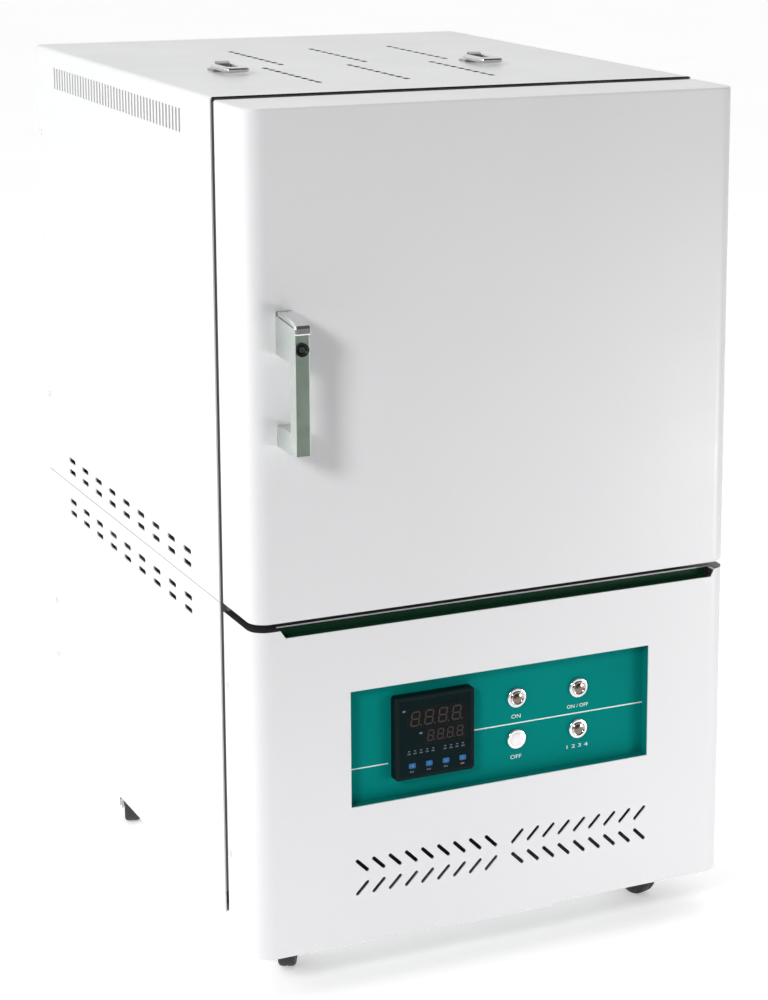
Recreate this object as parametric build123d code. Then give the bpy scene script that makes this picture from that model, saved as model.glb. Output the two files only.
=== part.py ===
from build123d import *
import math
import os

# ------------------------------------------------------------------
# Driving dimensions, millimetres.  The pieces are laid out with x from the
# left side, y from the front face of the door and z from the bottom edge of
# the lower front panel; everything is shifted at the end so that the origin
# is the middle of the underside of the whole object (floor level).
# ------------------------------------------------------------------
W = 580.0            # width of door, panel and casing
DEPTH = 757.0        # front face of the door to rear face of the casing
H = 930.0            # top of the casing above the panel's bottom edge
DOOR_T = 92.0        # thickness of door and of lower panel box
GAP_Y = 104.0        # front edge of the casing behind the shadow gap
SEAM_Z = 379.0       # joint between lower and upper casing
BODY_Z0 = 18.0       # underside of the casing
PANEL_TOP = 372.0    # top edge of the lower front panel
DOOR_Z0, DOOR_Z1 = 380.0, 928.0
EDGE_R = 20.0        # rounding of the vertical front edges
SHEET = 1.5          # casing sheet
FLOOR_Z = -52.0      # floor under the castors
INSET = 8.0          # depth of the shadow gap round the front frame

# muffle
CH_X0, CH_X1 = 165.0, 415.0
CH_Y0, CH_Y1 = 150.0, 550.0
CH_Z0, CH_Z1 = 529.0, 779.0
CAS_X0, CAS_X1 = 45.0, 535.0
CAS_Z0, CAS_Z1 = 383.0, 899.0
CAS_Y1 = 674.0

# control window and the things in it
WIN_X0, WIN_X1, WIN_Z0, WIN_Z1 = 110.0, 478.0, 159.0, 292.0
RECESS = 14.0
CTL = 96.0                         # square controller bezel, DIN size
CTL_X, CTL_Z = 211.0, 227.0        # its centre
BEZ = 12.0                         # depth of its bezel in front of the plate
BTN_X = (316.0, 394.0)
BTN_Z = (250.0, 201.0)
BTN_TRAVEL = 2.5
KEY_X = (183.0, 203.4, 223.8, 244.2)
KEY_Z = 194.8
KEY_TRAVEL = 0.5

# door hinge axis (vertical) and hinge heights
HINGE_X, HINGE_Y = W + 10.0, 98.0
HINGE_Z = (455.0, 815.0)
PIN_R = 3.0

# handle
HX0, HX1 = 30.0, 48.0
HY = -52.0
HZ0, HZ1 = 574.0, 718.0
LEVER_Y, LEVER_Z = -8.5, 715.9   # axis on which the chrome lever lifts
NOSE_Y = -56.0       # foremost point of the lever
LOCK_Z = 686.0
BOLT_TRAVEL = 5.0

# castors: pivot x, y and the direction in which the wheel trails
WHEEL_R, WHEEL_W, TRAIL = 25.0, 20.0, 23.0
CASTORS = {
    "fl": (57.0, 68.0, (0.45, 0.8930)),
    "fr": (523.0, 68.0, (-0.3, 0.9539)),
    "rl": (50.0, 600.0, (-0.3, -0.9539)),
    "rr": (530.0, 600.0, (0.34, -0.9404)),
}

# lifting rings on the roof
RING_X = (103.0, 421.0)
RING_Y = 352.0       # axis on which a ring folds
RING_L, RING_HALF, RING_R = 50.0, 12.0, 3.4

PARTS = {}


# ------------------------------------------------------------------
def box(x0, x1, y0, y1, z0, z1):
    return Pos((x0 + x1) / 2, (y0 + y1) / 2, (z0 + z1) / 2) * Box(x1 - x0, y1 - y0, z1 - z0)


def cyl_z(x, y, z0, z1, r):
    return Pos(x, y, (z0 + z1) / 2) * Cylinder(r, z1 - z0)


def cyl_y(x, y0, y1, z, r):
    return Pos(x, (y0 + y1) / 2, z) * Rot(90, 0, 0) * Cylinder(r, y1 - y0)


def cyl_x(x0, x1, y, z, r):
    return Pos((x0 + x1) / 2, y, z) * Rot(0, 90, 0) * Cylinder(r, x1 - x0)


def put(name, *solids):
    out = []
    for s in solids:
        out += list(s.solids())
    PARTS[name] = out


def rounded_box(x0, x1, y0, y1, z0, z1, r):
    """Box whose two vertical front edges are rounded."""
    b = box(x0, x1, y0, y1, z0, z1)
    e = b.edges().filter_by(Axis.Z).group_by(Axis.Y)[0]
    return fillet(e, r)


def slot_prism_x(x0, x1, y, z, length, height):
    """Horizontal slot through a wall that faces x."""
    r = height / 2
    h = length / 2 - r
    return box(x0, x1, y - h, y + h, z - r, z + r) + cyl_x(x0, x1, y - h, z, r) + cyl_x(x0, x1, y + h, z, r)


def sheet_x(x0, x1, outline, holes):
    """Wall normal to x from y-z rectangles; holes are faces in the same plane."""
    sk = Sketch() + outline
    for h in holes:
        sk -= h
    return extrude(Plane.YZ.offset(x0) * sk, amount=x1 - x0)


def yz_rect(y0, y1, z0, z1):
    return Pos((y0 + y1) / 2, (z0 + z1) / 2) * Rectangle(y1 - y0, z1 - z0)


# ------------------------------------------------------------------
# casing
# ------------------------------------------------------------------
SLOT_Y = [209.0 + 55.4 * i for i in range(9)]
UP_ROWS = (411.0, 396.0)
LOW_ROWS = (357.0, 342.0)
LOUVRE_N = 44
LOUVRE_Y0, LOUVRE_Y1 = 198.0, 683.0
LOUVRE_Z0, LOUVRE_Z1 = 882.0, 908.0
LP = (LOUVRE_Y1 - LOUVRE_Y0) / LOUVRE_N


def side_wall(x0, x1, z0, z1, rows, louvre):
    holes = [Pos(y, z) * SlotOverall(26.0, 6.0) for z in rows for y in SLOT_Y]
    if louvre:
        holes += [
            yz_rect(LOUVRE_Y0 + LP * i + LP * 0.28, LOUVRE_Y0 + LP * i + LP * 0.72, LOUVRE_Z0, LOUVRE_Z1)
            for i in range(LOUVRE_N)
        ]
    return sheet_x(x0, x1, yz_rect(GAP_Y, DEPTH - 2.0, z0, z1), holes)


top_rows = []
for xf, xr in ((161.0, 194.0), (267.0, 300.0), (373.0, 406.0)):
    top_rows += [(xf, 203.0 + 20.5 * i) for i in range(9)]
    top_rows += [(xr, 405.0 + 21.0 * i) for i in range(9)]
roof_sk = Sketch() + Pos(W / 2, (GAP_Y + DEPTH - 2.0) / 2) * Rectangle(W - 8.0, DEPTH - 2.0 - GAP_Y)
for x, y in top_rows:
    roof_sk -= Pos(x, y) * Rot(0, 0, 90) * SlotOverall(15.0, 6.6)
roof_screw = []
for rx in RING_X:
    roof_screw += [(rx - 6.0, RING_Y + 14.0), (rx + 6.0, RING_Y + 14.0)]
for x, y in roof_screw:
    roof_sk -= Pos(x, y) * Circle(2.1)
roof = extrude(Plane.XY.offset(H - SHEET) * roof_sk, amount=SHEET)


def corner(xa, xb, xin):
    """Quarter-round corner strip joining a side wall to the roof."""
    b = box(min(xa, xb), max(xa, xb), GAP_Y, DEPTH - 2.0, H - 4.0, H)
    r_out = cyl_y(xin, GAP_Y - 1, DEPTH, H - 4.0, 4.0)
    r_in = cyl_y(xin, GAP_Y - 1, DEPTH, H - 4.0, 4.0 - SHEET)
    return (b & r_out) - r_in


upper = (
    side_wall(0.0, SHEET, SEAM_Z + 0.5, H - 4.0, UP_ROWS, True)
    + side_wall(W - SHEET, W, SEAM_Z + 0.5, H - 4.0, UP_ROWS, True)
    + roof
    + corner(0.0, 4.0, 4.0)
    + corner(W - 4.0, W, W - 4.0)
)

lower = (
    side_wall(0.0, SHEET, BODY_Z0, SEAM_Z - 0.5, LOW_ROWS, False)
    + side_wall(W - SHEET, W, BODY_Z0, SEAM_Z - 0.5, LOW_ROWS, False)
    + box(0.0, W, GAP_Y, DEPTH - 2.0, BODY_Z0, BODY_Z0 + SHEET)
)

# hinge screws go into the right-hand wall
hinge_screws = []
for hz in HINGE_Z:
    for y in (122.0, 140.0):
        hinge_screws.append((y, hz - 15.0))
for y, z in hinge_screws:
    upper -= cyl_x(W - 3, W + 1, y, z, 2.1)

# side screws at the rear edge of the lower casing
rear_side_screws = [(745.0, 126.0), (745.0, 201.0), (745.0, 480.0), (745.0, 820.0)]
for y, z in rear_side_screws:
    for x0, x1 in ((-1, 3), (W - 3, W + 1)):
        c = cyl_x(x0, x1, y, z, 2.1)
        if z < SEAM_Z:
            lower -= c
        else:
            upper -= c
put("upper_shell", upper)
put("lower_shell", lower)

# rear panel: flat sheet with two slot fields and holes for gland and screws
rear_sk = Sketch() + Pos(W / 2, (BODY_Z0 + H) / 2) * Rectangle(W, H - BODY_Z0)
for z in (860.0, 840.0, 820.0, 330.0, 310.0, 290.0):
    for i in range(9):
        rear_sk -= Pos(130.0 + 40.0 * i, z) * SlotOverall(26.0, 6.0)
GLAND_X, GLAND_Z = 490.0, 90.0
rear_sk -= Pos(GLAND_X, GLAND_Z) * Circle(10.2)
rear_screws = [(12.0, 40.0), (W - 12, 40.0), (12.0, 350.0), (W - 12, 350.0), (12.0, 420.0), (W - 12, 420.0),
               (12.0, 660.0), (W - 12, 660.0), (12.0, 908.0), (W - 12, 908.0), (W / 2, 908.0), (W / 2, 40.0)]
for x, z in rear_screws:
    rear_sk -= Pos(x, z) * Circle(2.1)
for cx, fx in ((2.0, 4.0), (W - 2.0, W - 4.0)):
    rear_sk -= Pos(cx, H - 2.0) * Rectangle(4.0, 4.0) - Pos(fx, H - 4.0) * Circle(4.0)
rear = extrude(Plane.XZ.offset(-DEPTH) * rear_sk, amount=2.0)
put("rear_panel", rear)

# base frame: welded rectangular ring of rail under the floor sheet, carrying the castors
bf_z0, bf_z1 = BODY_Z0 + SHEET, BODY_Z0 + SHEET + 22.0
base = (
    box(28.0, W - 28.0, 24.0, 740.0, bf_z0, bf_z1)
    - box(58.0 + 34.0, W - 58.0 - 34.0, 54.0 + 40.0, 700.0, bf_z0 - 1, bf_z1 + 1)
)
base -= box(26.0 + 4, W - 26.0 - 4, 26.0, 738.0, bf_z0 - 1, bf_z1 - 2.5)
# front skirt of the base in front of the floor sheet, level with its underside
base += box(28.0, W - 28.0, 24.0, GAP_Y - 0.4, BODY_Z0, bf_z0 + 1.5)
put("base_frame", base)

# front frame: folded collar behind the door with the muffle mouth in it
ff = box(INSET, W - INSET, 94.0, 96.0, 42.0, 922.0)
ff += box(INSET, W - INSET, 92.0, 94.5, 42.0, PANEL_TOP - 4)
ff += box(INSET, W - INSET, 95.0, GAP_Y + 1.0, 42.0, 922.0) - box(INSET + 2, W - INSET - 2, 90.0, GAP_Y + 4, 44.0, 920.0)
ff += box(SHEET + 0.2, W - SHEET - 0.2, GAP_Y, GAP_Y + 2.0, 42.0, H - SHEET - 0.3) - box(INSET + 1, W - INSET - 1, 90.0, 120.0, 43.0, 921.0)
ff -= box(CH_X0 - 5, CH_X1 + 5, 80.0, 99.0, CH_Z0 - 5, CH_Z1 + 5)
ff -= box(60.0, W - 60.0, 80.0, 99.0, 70.0, 340.0)
# slot for the latch bolt
ff -= box(33.0, 50.0, 80.0, 99.0, 684.5, 718.0)
ff -= box(-1.0, 4.4, 90.0, 120.0, H - 4.4, H + 1) + box(W - 4.4, W + 1, 90.0, 120.0, H - 4.4, H + 1)
put("front_frame", ff)

strike = box(29.0, 54.0, 96.0, 98.0, 676.0, 728.0) - box(34.0, 49.0, 90.0, 100.0, 685.5, 717.0)
put("strike_plate", strike)

# deck between the electrical bay and the muffle casing
put("deck_plate", box(SHEET + 0.5, W - SHEET - 0.5, GAP_Y + 2.0, DEPTH - 2.0, 381.0, 383.0))

# ------------------------------------------------------------------
# muffle: steel inner casing, fibre boards, hearth plate, elements, thermocouple
# ------------------------------------------------------------------
cas = box(CAS_X0, CAS_X1, GAP_Y + 2.0, CAS_Y1, CAS_Z0, CAS_Z1) - box(
    CAS_X0 + 1.5, CAS_X1 - 1.5, GAP_Y, CAS_Y1 - 1.5, CAS_Z0 + 1.5, CAS_Z1 - 1.5)
bi0, bi1 = CAS_X0 + 1.5, CAS_X1 - 1.5
bz0, bz1 = CAS_Z0 + 1.5, CAS_Z1 - 1.5
by0, by1 = 96.0, CAS_Y1 - 1.5
floor_b = box(bi0, bi1, by0, by1, bz0, CH_Z0)
roof_b = box(bi0, bi1, by0, by1, CH_Z1, bz1)
side_l = box(bi0, CH_X0, by0, by1, CH_Z0, CH_Z1)
side_r = box(CH_X1, bi1, by0, by1, CH_Z0, CH_Z1)
# pocket behind the frame for the strike plate and the end of the latch bolt
side_l -= box(40.0, 58.0, 90.0, 106.0, 674.0, 730.0)
back_b = box(CH_X0, CH_X1, CH_Y1, by1, CH_Z0, CH_Z1)

EL_Z = [560.0 + 37.6 * i for i in range(6)]
EL_R = 2.5
EL_X = (CH_X0 + 9.0, CH_X1 - 9.0)
TC_X, TC_Z = W / 2, 705.0
for ex in EL_X:
    for z in (EL_Z[0], EL_Z[-1]):
        back_b -= cyl_y(ex, CH_Y1 - 1, by1 + 1, z, 7.0)
        cas -= cyl_y(ex, by1 - 1, CAS_Y1 + 1, z, 7.5)
back_b -= cyl_y(TC_X, CH_Y1 - 1, by1 + 1, TC_Z, 5.2)
cas -= cyl_y(TC_X, by1 - 1, CAS_Y1 + 1, TC_Z, 6.5)
put("inner_casing", cas)
put("fibre_boards", floor_b, roof_b, side_l, side_r)
put("fibre_back_block", back_b)
put("hearth_plate", box(CH_X0 + 16, CH_X1 - 16, CH_Y0 + 10, CH_Y1 - 8, CH_Z0, CH_Z0 + 10.0))


def element(ex):
    """Serpentine heating wire: six long passes joined by half-round bends."""
    y_front, y_back, y_end = 190.0, 524.0, 706.0
    pitch = EL_Z[1] - EL_Z[0]
    rb = pitch / 2
    solids = None
    for i, z in enumerate(EL_Z):
        y1 = y_end if i in (0, len(EL_Z) - 1) else y_back
        c = cyl_y(ex, y_front, y1, z, EL_R)
        solids = c if solids is None else solids + c
    for i in range(len(EL_Z) - 1):
        zc = (EL_Z[i] + EL_Z[i + 1]) / 2
        front = i % 2 == 0
        yb = y_front if front else y_back
        ring = Pos(ex, yb, zc) * Rot(0, 90, 0) * Torus(rb, EL_R)
        half = box(ex - 5, ex + 5, yb - 40, yb, zc - 30, zc + 30) if front else box(ex - 5, ex + 5, yb, yb + 40, zc - 30, zc + 30)
        solids = solids + (ring & half)
    return solids


put("heating_elements", element(EL_X[0]), element(EL_X[1]))
bushes, terms = [], []
for ex in EL_X:
    for z in (EL_Z[0], EL_Z[-1]):
        bushes.append(cyl_y(ex, CH_Y1, 690.0, z, 6.9) - cyl_y(ex, 540.0, 700.0, z, 2.8))
        t = box(ex - 10, ex + 10, 691.0, 705.0, z - 12, z + 12) - cyl_y(ex, 690.0, 706.0, z, EL_R + 0.1)
        t += cyl_z(ex, 698.0, z + 12.0, z + 18.0, 4.0)
        terms.append(t)
put("element_bushes", *bushes)
put("element_terminals", *terms)
tc_sheath = cyl_y(TC_X, 470.0, 690.0, TC_Z, 5.0)
tc_head = cyl_y(TC_X, 690.0, 722.0, TC_Z, 24.0) + cyl_y(TC_X, 722.0, 730.0, TC_Z, 26.0) + box(TC_X - 8, TC_X + 8, 694.0, 716.0, TC_Z - 40, TC_Z)
put("thermocouple", tc_sheath, tc_head)

# ------------------------------------------------------------------
# electrical bay
# ------------------------------------------------------------------
ez2 = bf_z1
sink = box(120.0, 240.0, 300.0, 420.0, ez2, ez2 + 8.0)
for i in range(9):
    xx = 122.0 + 14.0 * i
    sink += box(xx, xx + 3.0, 300.0, 420.0, ez2 + 7.0, ez2 + 42.0)
sink_top = ez2 + 42.0
sink += box(120.0, 240.0, 330.0, 390.0, sink_top - 1.0, sink_top + 5.0)
# the heat sink stands on a cross strip of the base frame
base_strip = box(92.0, W - 92.0, 290.0, 430.0, bf_z1 - 2.5, bf_z1)
base_strip2 = box(92.0, W - 92.0, 520.0, 620.0, bf_z1 - 2.5, bf_z1)
put("heat_sink", sink)
ssr = box(157.0, 203.0, 332.0, 388.0, sink_top + 5.0, sink_top + 28.0)
for sx, sy in ((165, 338), (195, 338), (165, 382), (195, 382)):
    ssr -= cyl_z(sx, sy, sink_top + 20, sink_top + 30, 3.0)
put("ssr_module", ssr)
tb = box(400.0, 490.0, 560.0, 590.0, bf_z1, bf_z1 + 30.0)
for i in range(6):
    tb -= cyl_z(409.0 + 14.4 * i, 568.0, bf_z1 + 20, bf_z1 + 31, 3.5)
    tb -= cyl_z(409.0 + 14.4 * i, 582.0, bf_z1 + 20, bf_z1 + 31, 3.5)
put("terminal_block", tb)
gland = cyl_y(GLAND_X, DEPTH - 8.0, DEPTH + 16.0, GLAND_Z, 10.0)
gland += Pos(GLAND_X, DEPTH + 3.0, GLAND_Z) * Rot(90, 0, 0) * extrude(RegularPolygon(14.0, 6), 3.0, both=True)
gland += cyl_y(GLAND_X, DEPTH + 6.0, DEPTH + 20.0, GLAND_Z, 12.0)
gland += Pos(GLAND_X, DEPTH - 5.0, GLAND_Z) * Rot(90, 0, 0) * extrude(RegularPolygon(14.0, 6), 3.0, both=True)
gland -= cyl_y(GLAND_X, DEPTH - 20.0, DEPTH + 30.0, GLAND_Z, 6.0)
put("cable_gland", gland)
base2 = Part() + [base, base_strip, base_strip2]
for key, (px, py, d) in CASTORS.items():
    for sx in (-22.0, 22.0):
        for sy in (-22.0, 22.0):
            base2 -= cyl_z(px + sx, py + sy, BODY_Z0 - 1, bf_z1 + 1, 3.1)
            if py > 200:
                lower -= cyl_z(px + sx, py + sy, BODY_Z0 - 1, BODY_Z0 + 3, 3.1)
# king-pin clearance in base and floor
for key, (px, py, d) in CASTORS.items():
    base2 -= cyl_z(px, py, BODY_Z0 - 1, bf_z1 - 1, 8.0)
    if py > 200:
        lower -= cyl_z(px, py, BODY_Z0 - 1, BODY_Z0 + 3, 8.0)
put("base_frame", base2)
put("lower_shell", lower)

# ------------------------------------------------------------------
# lower front panel, channel, control plate, controller and buttons
# ------------------------------------------------------------------
pan = rounded_box(0.0, W, 0.0, DOOR_T, 0.0, PANEL_TOP, EDGE_R)
pan -= rounded_box(SHEET, W - SHEET, SHEET, DOOR_T + 1, -1.0, PANEL_TOP - SHEET, EDGE_R - SHEET)
notch = Plane.XZ * make_face(Polyline((31.0, 375.0), (31.0, 371.5), (36.6, 363.0), (558.7, 363.0), (563.5, 371.5),
                                      (563.5, 375.0), close=True))
pan -= extrude(notch, amount=-16.0) + extrude(notch, amount=2.0)
pan -= box(WIN_X0, WIN_X1, -1.0, 5.0, WIN_Z0, WIN_Z1)


def vent(cx, cz, sign):
    s = Plane.XZ * (Pos(cx, cz) * Rot(0, 0, 45.0 * sign) * SlotOverall(21.0, 4.2))
    return extrude(s, amount=-6.0) + extrude(s, amount=2.0)


vents = Part()
for i in range(9):
    vents += [vent(122.2 + 19.55 * i, 90.0, -1), vent(122.4 + 19.55 * i, 63.7, 1),
              vent(311.8 + 19.65 * i, 90.0, 1), vent(311.8 + 19.65 * i, 63.7, -1)]
pan -= vents
pan += box(236.0, 357.0, 0.2, 1.7, -3.0, 1.0)
side_screws = [(84.0, 95.0), (84.0, 290.0)]
for y, z in side_screws:
    pan -= cyl_x(-1, 3, y, z, 2.1) + cyl_x(W - 3, W + 1, y, z, 2.1)
# bracket flanges that carry the side screws to the front frame
pan += box(SHEET, INSET + 12, DOOR_T - SHEET, DOOR_T, 44.0, 360.0) + box(W - INSET - 12, W - SHEET, DOOR_T - SHEET, DOOR_T, 44.0, 360.0)
put("lower_front_panel", pan)

strip = box(34.0, 560.0, 16.2, 17.7, 352.0, PANEL_TOP - SHEET - 0.3) + box(34.0, 560.0, SHEET + 0.1, 17.7, 359.5, 361.0)
strip += box(34.0, 560.0, SHEET + 0.1, 3.1, 345.0, 361.0)
put("channel_strip", strip)

plate = box(WIN_X0 - 6, WIN_X1 + 6, RECESS, RECESS + 2.0, WIN_Z0 - 6, WIN_Z1 + 6)
plate += box(WIN_X0 - 1.5, WIN_X1 + 1.5, SHEET, RECESS + 1, WIN_Z0 - 1.5, WIN_Z1 + 1.5) - box(WIN_X0, WIN_X1, 0, RECESS + 1, WIN_Z0, WIN_Z1)
plate += box(WIN_X0 - 8, WIN_X1 + 8, SHEET, SHEET + 1.5, WIN_Z0 - 8, WIN_Z1 + 8) - box(WIN_X0, WIN_X1, 0, RECESS, WIN_Z0, WIN_Z1)
plate -= box(CTL_X - 46, CTL_X + 46, 0.0, 20.0, CTL_Z - 46, CTL_Z + 46)
for x in BTN_X:
    for z in BTN_Z:
        plate -= cyl_y(x, 0.0, 20.0, z, 9.6)
put("control_plate", plate)

cb = box(CTL_X - CTL / 2, CTL_X + CTL / 2, RECESS - BEZ, RECESS, CTL_Z - CTL / 2, CTL_Z + CTL / 2)
cb = fillet(cb.edges().filter_by(Axis.Y), 4.0)
cb = chamfer(cb.faces().sort_by(Axis.Y)[0].edges(), 1.2)
cb += box(CTL_X - 45.5, CTL_X + 45.5, RECESS - 1, 86.0, CTL_Z - 45.5, CTL_Z + 45.5)
cb -= box(CTL_X - 44.0, CTL_X + 44.0, 0.0, RECESS - BEZ + 1.4, CTL_Z - 44.0, CTL_Z + 44.0)
for kx in KEY_X:
    cb -= box(kx - 5.0, kx + 5.0, 0.0, RECESS - BEZ + 6.0, KEY_Z - 4.0, KEY_Z + 4.0)
put("controller_case", cb)
face = box(CTL_X - 43.8, CTL_X + 43.8, RECESS - BEZ + 0.2, RECESS - BEZ + 1.4, CTL_Z - 43.8, CTL_Z + 43.8)
for kx in KEY_X:
    face -= box(kx - 4.3, kx + 4.3, 0.0, 20.0, KEY_Z - 3.3, KEY_Z + 3.3)
put("controller_face", face)
for i, kx in enumerate(KEY_X):
    k = box(kx - 4.0, kx + 4.0, RECESS - BEZ - 0.6, RECESS - BEZ + 5.0, KEY_Z - 3.0, KEY_Z + 3.0)
    k = fillet(k.edges().filter_by(Axis.Y), 1.4)
    put("controller_key_%d" % (i + 1), k)

bodies, nuts = [], []
n = 0
for z in BTN_Z:
    for x in BTN_X:
        n += 1
        fl = cyl_y(x, RECESS - 3.0, RECESS, z, 11.6)
        fl = fillet(fl.edges().sort_by(Axis.Y)[0], 1.2)
        b = fl + cyl_y(x, RECESS - 1, RECESS + 32.0, z, 9.5)
        b -= cyl_y(x, RECESS - 4.0, RECESS + 8.0, z, 8.15)
        bodies.append(b)
        nut = Pos(x, RECESS + 4.0, z) * Rot(90, 0, 0) * extrude(RegularPolygon(12.6, 6), 1.9, both=True)
        nut -= cyl_y(x, RECESS, RECESS + 8, z, 9.55)
        nuts.append(nut)
        cap = cyl_y(x, RECESS - 5.0, RECESS + 4.0, z, 8.05)
        cap = fillet(cap.edges().sort_by(Axis.Y)[0], 1.8)
        put("button_cap_%d" % n, cap)
put("button_bodies", *bodies, *nuts)

# ------------------------------------------------------------------
# door
# ------------------------------------------------------------------
skin = rounded_box(0.0, W, 0.0, DOOR_T, DOOR_Z0, DOOR_Z1, EDGE_R)
edges = [e for f in (skin.faces().sort_by(Axis.Z)[0], skin.faces().sort_by(Axis.Z)[-1]) for e in f.edges()
         if e.center().Y < DOOR_T - 0.5]
skin = fillet(edges, 2.5)
skin -= rounded_box(SHEET, W - SHEET, SHEET, DOOR_T + 1, DOOR_Z0 + SHEET, DOOR_Z1 - SHEET, EDGE_R - SHEET)
# holes for the handle's two mounting screws and for the latch
MX = (HX0 + HX1) / 2
handle_holes = [(MX, 586.0), (MX, 680.0)]
for x, z in handle_holes:
    skin -= cyl_y(x, -1, 4, z, 3.1)
door_hinge_screws = []
for hz in HINGE_Z:
    for y in (52.0, 72.0):
        door_hinge_screws.append((y, hz + 15.25))
for y, z in door_hinge_screws:
    skin -= cyl_x(W - 3, W + 1, y, z, 2.1)
put("door_skin", skin)
ins = box(22.0, W - 22.0, 3.0, 84.0, DOOR_Z0 + 6, DOOR_Z1 - 6) - box(0.0, 72.0, 0.0, 90.0, 560.0, 735.0)
put("door_insulation", ins)
inner = box(SHEET + 0.2, W - SHEET - 0.2, 88.0, 90.0, DOOR_Z0 + SHEET + 0.2, DOOR_Z1 - SHEET - 0.2)
inner -= box(33.0, 50.0, 80.0, 95.0, 684.0, 720.0)
inner += box(20.0, W - 20.0, 84.0, 88.0, DOOR_Z0 + 20, DOOR_Z1 - 20) - box(24.0, W - 24.0, 80.0, 90.0, DOOR_Z0 + 24, DOOR_Z1 - 24) - box(20.0, 60.0, 80.0, 88.0, 560.0, 735.0)
put("door_inner_plate", inner)
plug = box(CH_X0 + 10, CH_X1 - 8, 90.0, 146.0, CH_Z0 + 8, CH_Z1 - 8)
plug = chamfer(plug.faces().sort_by(Axis.Y)[-1].edges(), 6.0)
put("door_plug", plug)
gk = box(CH_X0 - 26, CH_X1 + 26, 90.0, 93.6, CH_Z0 - 26, CH_Z1 + 26) - box(CH_X0 - 12, CH_X1 + 12, 80.0, 99.0, CH_Z0 - 12, CH_Z1 + 12)
gk = fillet(gk.faces().sort_by(Axis.Y)[-1].outer_wire().edges(), 1.5)
put("door_gasket", gk)

# latch: bolt guide inside the door, bolt, handle with lever and lock
bolt = box(35.0, 48.0, 20.0, 101.0, 692.0, 712.0)
bolt = chamfer(bolt.faces().sort_by(Axis.Y)[-1].edges(), 2.0)
bolt += box(36.0, 47.0, 12.0, 22.0, 696.0, 708.0)
put("latch_bolt", bolt)
guide = box(29.0, 54.0, 30.0, 80.0, 680.0, 720.0) - box(34.7, 48.3, 20.0, 90.0, 686.6, 712.4)
guide += box(22.0, 61.0, 78.0, 80.0, 672.0, 728.0) - box(34.7, 48.3, 20.0, 90.0, 686.6, 712.4)
guide += box(22.0, 24.0, 79.0, 88.0, 672.0, 728.0) + box(59.0, 61.0, 79.0, 88.0, 672.0, 728.0)
put("latch_guide", guide)

hb = box(HX0, HX1, HY, 0.0, 672.0, HZ1) + box(HX0, HX1, HY, HY + 12.0, HZ0, HZ1) + box(HX0, HX1, HY, 0.0, HZ0, 597.0)
hb = chamfer(hb.edges().filter_by(Axis.Z).group_by(Axis.Y)[0], 1.8)
# the head is cut down in a slope for the lever; a low rim is left standing against the door
head_cut = Plane.YZ.offset(HX0 - 1) * make_face(Polyline((HY - 4, 708.6), (-3.0, 713.4), (-3.0, 722.0), (HY - 4, 722.0), close=True))
hb -= extrude(head_cut, amount=HX1 - HX0 + 2)
# lug and pin on which the lever lifts
hb += cyl_x(MX - 1.5, MX + 1.5, LEVER_Y, LEVER_Z, 2.4) + box(MX - 1.5, MX + 1.5, LEVER_Y - 2.4, LEVER_Y + 2.4, 711.0, LEVER_Z)
hb += cyl_x(HX0 + 1.5, HX1 - 1.5, LEVER_Y, LEVER_Z, 1.2)
# lock bore
hb -= cyl_y(MX, HY - 1, HY + 26.0, LOCK_Z, 6.0)
# the mounting screws come from inside the door
for x, z in handle_holes:
    hb -= cyl_y(x, -14.0, 1.0, z, 2.6)
put("handle_body", hb)
# lever section, and the same section drawn in where the edges are bevelled at both sides
LEV = [(-11.0, 713.75), (-52.4, 709.85), (-52.4, 702.8), (-53.3, 701.8), (-55.0, 701.8), (NOSE_Y, 703.2),
       (NOSE_Y, 708.6), (-54.4, 711.6), (-49.0, 714.2), (-40.0, 716.0), (-26.0, 717.8), (LEVER_Y, 718.5), (LEVER_Y, 713.3)]
LEV_IN = [(-11.0, 713.75), (-52.4, 709.85), (-52.4, 702.8), (-53.1, 702.2), (-54.2, 702.4), (-54.6, 703.4),
          (-54.6, 708.2), (-53.4, 710.4), (-48.5, 712.7), (-39.8, 714.5), (-25.9, 716.3), (LEVER_Y, 717.0), (LEVER_Y, 713.3)]


def lever_face(x, pts):
    return Plane.YZ.offset(x) * make_face(Polyline(*pts, close=True))


LX0, LX1, BEV = HX0 + 0.2, HX1 - 0.2, 1.5
lev = extrude(lever_face(LX0 + BEV, LEV), amount=LX1 - LX0 - 2 * BEV)
lev += loft([lever_face(LX0, LEV_IN), lever_face(LX0 + BEV, LEV)], ruled=True)
lev += loft([lever_face(LX1 - BEV, LEV), lever_face(LX1, LEV_IN)], ruled=True)
lev += cyl_x(HX0 + 0.2, HX1 - 0.2, LEVER_Y, LEVER_Z, 2.6)
lev -= box(MX - 1.9, MX + 1.9, LEVER_Y - 2.8, 0.0, 705.0, 722.0)
lev -= cyl_x(HX0 + 1.2, HX1 - 1.2, LEVER_Y, LEVER_Z, 1.26)
put("handle_lever", lev)
lock_ring = cyl_y(MX, HY - 1.6, HY, LOCK_Z, 7.2) + cyl_y(MX, HY - 0.5, HY + 24.0, LOCK_Z, 5.95)
lock_ring -= Pos(MX, HY - 0.1, LOCK_Z) * Rot(90, 0, 0) * Cone(3.2, 6.3, 3.0)
lock_ring -= cyl_y(MX, HY - 3, HY + 20.0, LOCK_Z, 3.2)
put("lock_body", lock_ring)
core = cyl_y(MX, HY + 0.2, HY + 19.0, LOCK_Z, 3.14) - box(MX - 0.45, MX + 0.45, HY - 3, HY + 4.0, LOCK_Z - 2.0, LOCK_Z + 2.0)
put("lock_core", core)
hs = []
for x, z in handle_holes:
    s = cyl_y(x, -13.0, 1.5, z, 2.5) + cyl_y(x, 1.5, 5.0, z, 4.5)
    hs.append(s)

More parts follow.
